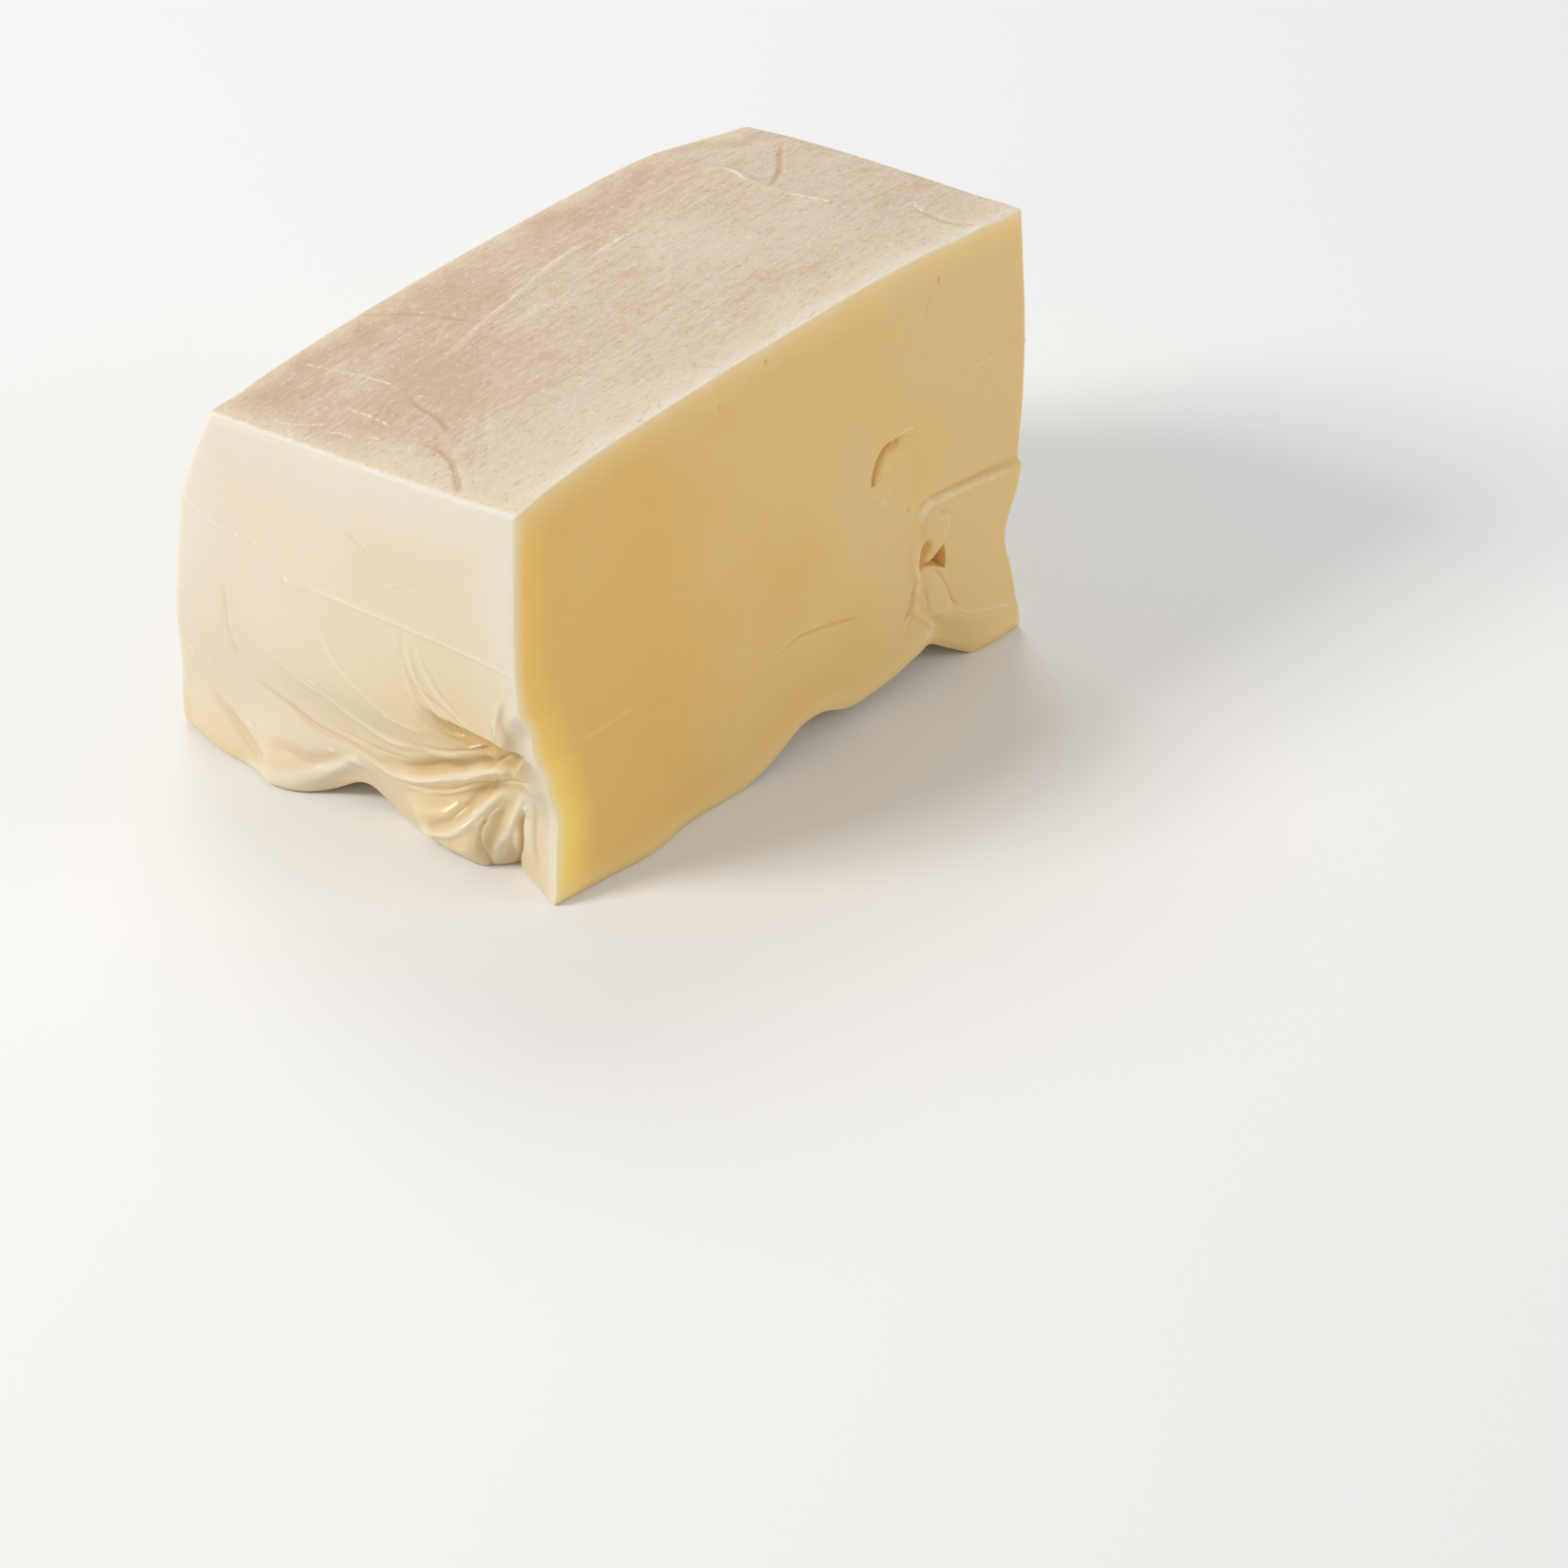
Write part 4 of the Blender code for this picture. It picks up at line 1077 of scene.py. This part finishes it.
def rind_colour(s):
    """Rind that turns cream towards its edges, flecked, with painted shade in its grooves, painted
    highlights on its ridges and whitish scuffs.
    """
    from_end = s.read("from_end")
    from_cut = s.read("from_cut")
    from_back = s.read("from_back")
    colour = rind_paste(s, from_end, from_cut, from_back)
    wander = s.times(s.noise(70, 4), RIND_WANDER)
    colour = s.tint(colour, RIND_CREAM, s.step(s.minus(from_cut, wander), *RIND_BY_CUT), 0.9)
    bloom = s.step(s.minus(from_cut, s.times(wander, 0.4)), *RIND_BLOOM)
    colour = s.mix(bloom, colour, RIND_WHITE)
    colour = s.tint(colour, RIND_CREAM, s.step(s.minus(from_end, wander), *RIND_BY_END), 0.8)
    colour = s.tint(colour, RIND_CREAM, s.step(s.minus(from_back, wander), *RIND_BY_BACK), 0.7)
    flecks = s.step(s.noise(900, 3, 0.6, (0.4, 1, 1), (3, 1, 0)), 0.56, 0.70)
    colour = s.tint(colour, RIND_FLECK, flecks, 0.45)
    specks = s.step(s.noise(1000, 3, 0.6, (0.5, 1, 1), (1, 7, 0)), 0.58, 0.72)
    colour = s.tint(colour, SCUFF_WHITE, specks, 0.50)
    # Painted shade in the rind's grooves, and painted highlights on its ridges.
    colour = s.tint(colour, RIND_BROWN, s.step(s.read("crease"), -0.05, -0.4), 0.5)
    colour = s.tint(colour, RIND_CREAM, s.step(s.read("crease"), 0.2, 0.6), 0.35)
    broken = s.step(s.noise(600, 3, 0.7), 0.40, 0.62)
    colour = s.tint(colour, SCUFF_WHITE, s.times(s.step(s.read("scuff_and_glint"), 0.05, 0.2), broken), 0.75)
    colour = s.tint(colour, SCUFF_WHITE, crumbs(s, from_cut, RIND_CUT_CRUMBS), 0.8)
    return s.tint(colour, FILM_WHITE_AND_HIGHLIGHT, crumbs(s, from_end, RIND_END_CRUMBS), 0.9)


def skin_material():
    """The whole outside: rind on top, golden paste on the cut face, and ivory skin everywhere else."""
    s = Shader("cheese_skin")
    on_rind = s.step(s.read("from_top"), *ON_RIND)
    on_cut = s.step(s.read("from_cut"), *ON_CUT)
    colour = s.mix(on_rind, skin_colour(s), rind_colour(s))
    colour = s.mix(on_cut, colour, cut_colour(s))
    s.feed(s.surface.inputs["Base Color"], colour)
    rough = s.blend(on_cut, s.blend(on_rind, SKIN_ROUGH, RIND_ROUGH), CUT_ROUGH)
    s.feed(s.surface.inputs["Roughness"], s.plus(rough, s.times(s.noise(90, 3), ROUGH_SPREAD)))
    bare = s.times(s.minus(1.0, on_rind), s.minus(1.0, on_cut))
    s.feed(s.surface.inputs["Coat Weight"], s.times(bare, FILM_GLOSS))
    s.surface.inputs["Coat Roughness"].default_value = FILM_ROUGH
    grain = s.times(s.noise(700, 4, 0.7, (0.3, 1, 1)), on_rind)
    rind_relief = s.bump(grain, RIND_GRAIN_HEIGHT)
    film = s.times(s.noise(260, 3, 0.6, (1, 1, 0.1)), bare)
    film_relief = s.bump(film, FILM_HEIGHT, rind_relief)
    s.feed(s.surface.inputs["Normal"], s.bump(s.noise(160, 3), WAX_HEIGHT, film_relief))
    s.scatter(*SKIN_SCATTER)
    return s.material


def eye_material():
    """Moist paste on the walls of an eye."""
    s = Shader("cheese_eye")
    s.feed(s.surface.inputs["Base Color"], s.mix(s.noise(200, 2), EYE_GOLD, EYE_DEEP))
    s.surface.inputs["Roughness"].default_value = EYE_ROUGH
    s.scatter(*EYE_SCATTER)
    return s.material


def make_floor():
    """A plain pale floor under the block."""
    corners = [(x * FLOOR_HALF, y * FLOOR_HALF, 0) for x, y in ((-1, -1), (1, -1), (1, 1), (-1, 1))]
    floor = new_object("floor", corners, [(0, 1, 2, 3)])
    s = Shader("floor_paint")
    s.feed(s.surface.inputs["Base Color"], s.mix(s.noise(3), FLOOR_DULL, FLOOR_BRIGHT))
    s.surface.inputs["Roughness"].default_value = 0.8
    floor.data.materials.append(s.material)


def make_light(name, place, size, power, colour):
    """A round soft light that looks at the block."""
    data = bpy.data.lights.new(name, "AREA")
    data.shape = "DISK"
    data.size = size
    data.energy = power
    data.color = colour
    light = bpy.data.objects.new(name, data)
    light.location = place
    light.rotation_euler = (Vector(LIGHT_TARGET) - Vector(place)).to_track_quat("-Z", "Y").to_euler()
    bpy.context.scene.collection.objects.link(light)


def make_lights():
    """A soft light from the upper left, two weaker ones from behind and in front, and an even surround."""
    for light in LIGHTS:
        make_light(*light)
    world = bpy.data.worlds.new("studio")
    world.use_nodes = True
    backdrop = world.node_tree.nodes["Background"]
    backdrop.inputs["Color"].default_value = SURROUND_COLOUR
    backdrop.inputs["Strength"].default_value = SURROUND_STRENGTH
    bpy.context.scene.world = world


def make_camera(shift):
    """The camera, moved with the block into the shared frame."""
    data = bpy.data.cameras.new("camera")
    data.lens = CAMERA_LENS
    data.sensor_width = SENSOR
    camera = bpy.data.objects.new("camera", data)
    camera.location = Vector(CAMERA_PLACE) + shift
    target = Vector(CAMERA_TARGET) + shift
    camera.rotation_euler = (target - camera.location).to_track_quat("-Z", "Y").to_euler()
    bpy.context.scene.collection.objects.link(camera)
    bpy.context.scene.camera = camera


block = make_block()
frame_shift = fit_to_solid(block)
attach(block, BODY)
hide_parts(NODE)
make_floor()
make_lights()
make_camera(frame_shift)
bpy.context.scene.view_settings.view_transform = "Standard"
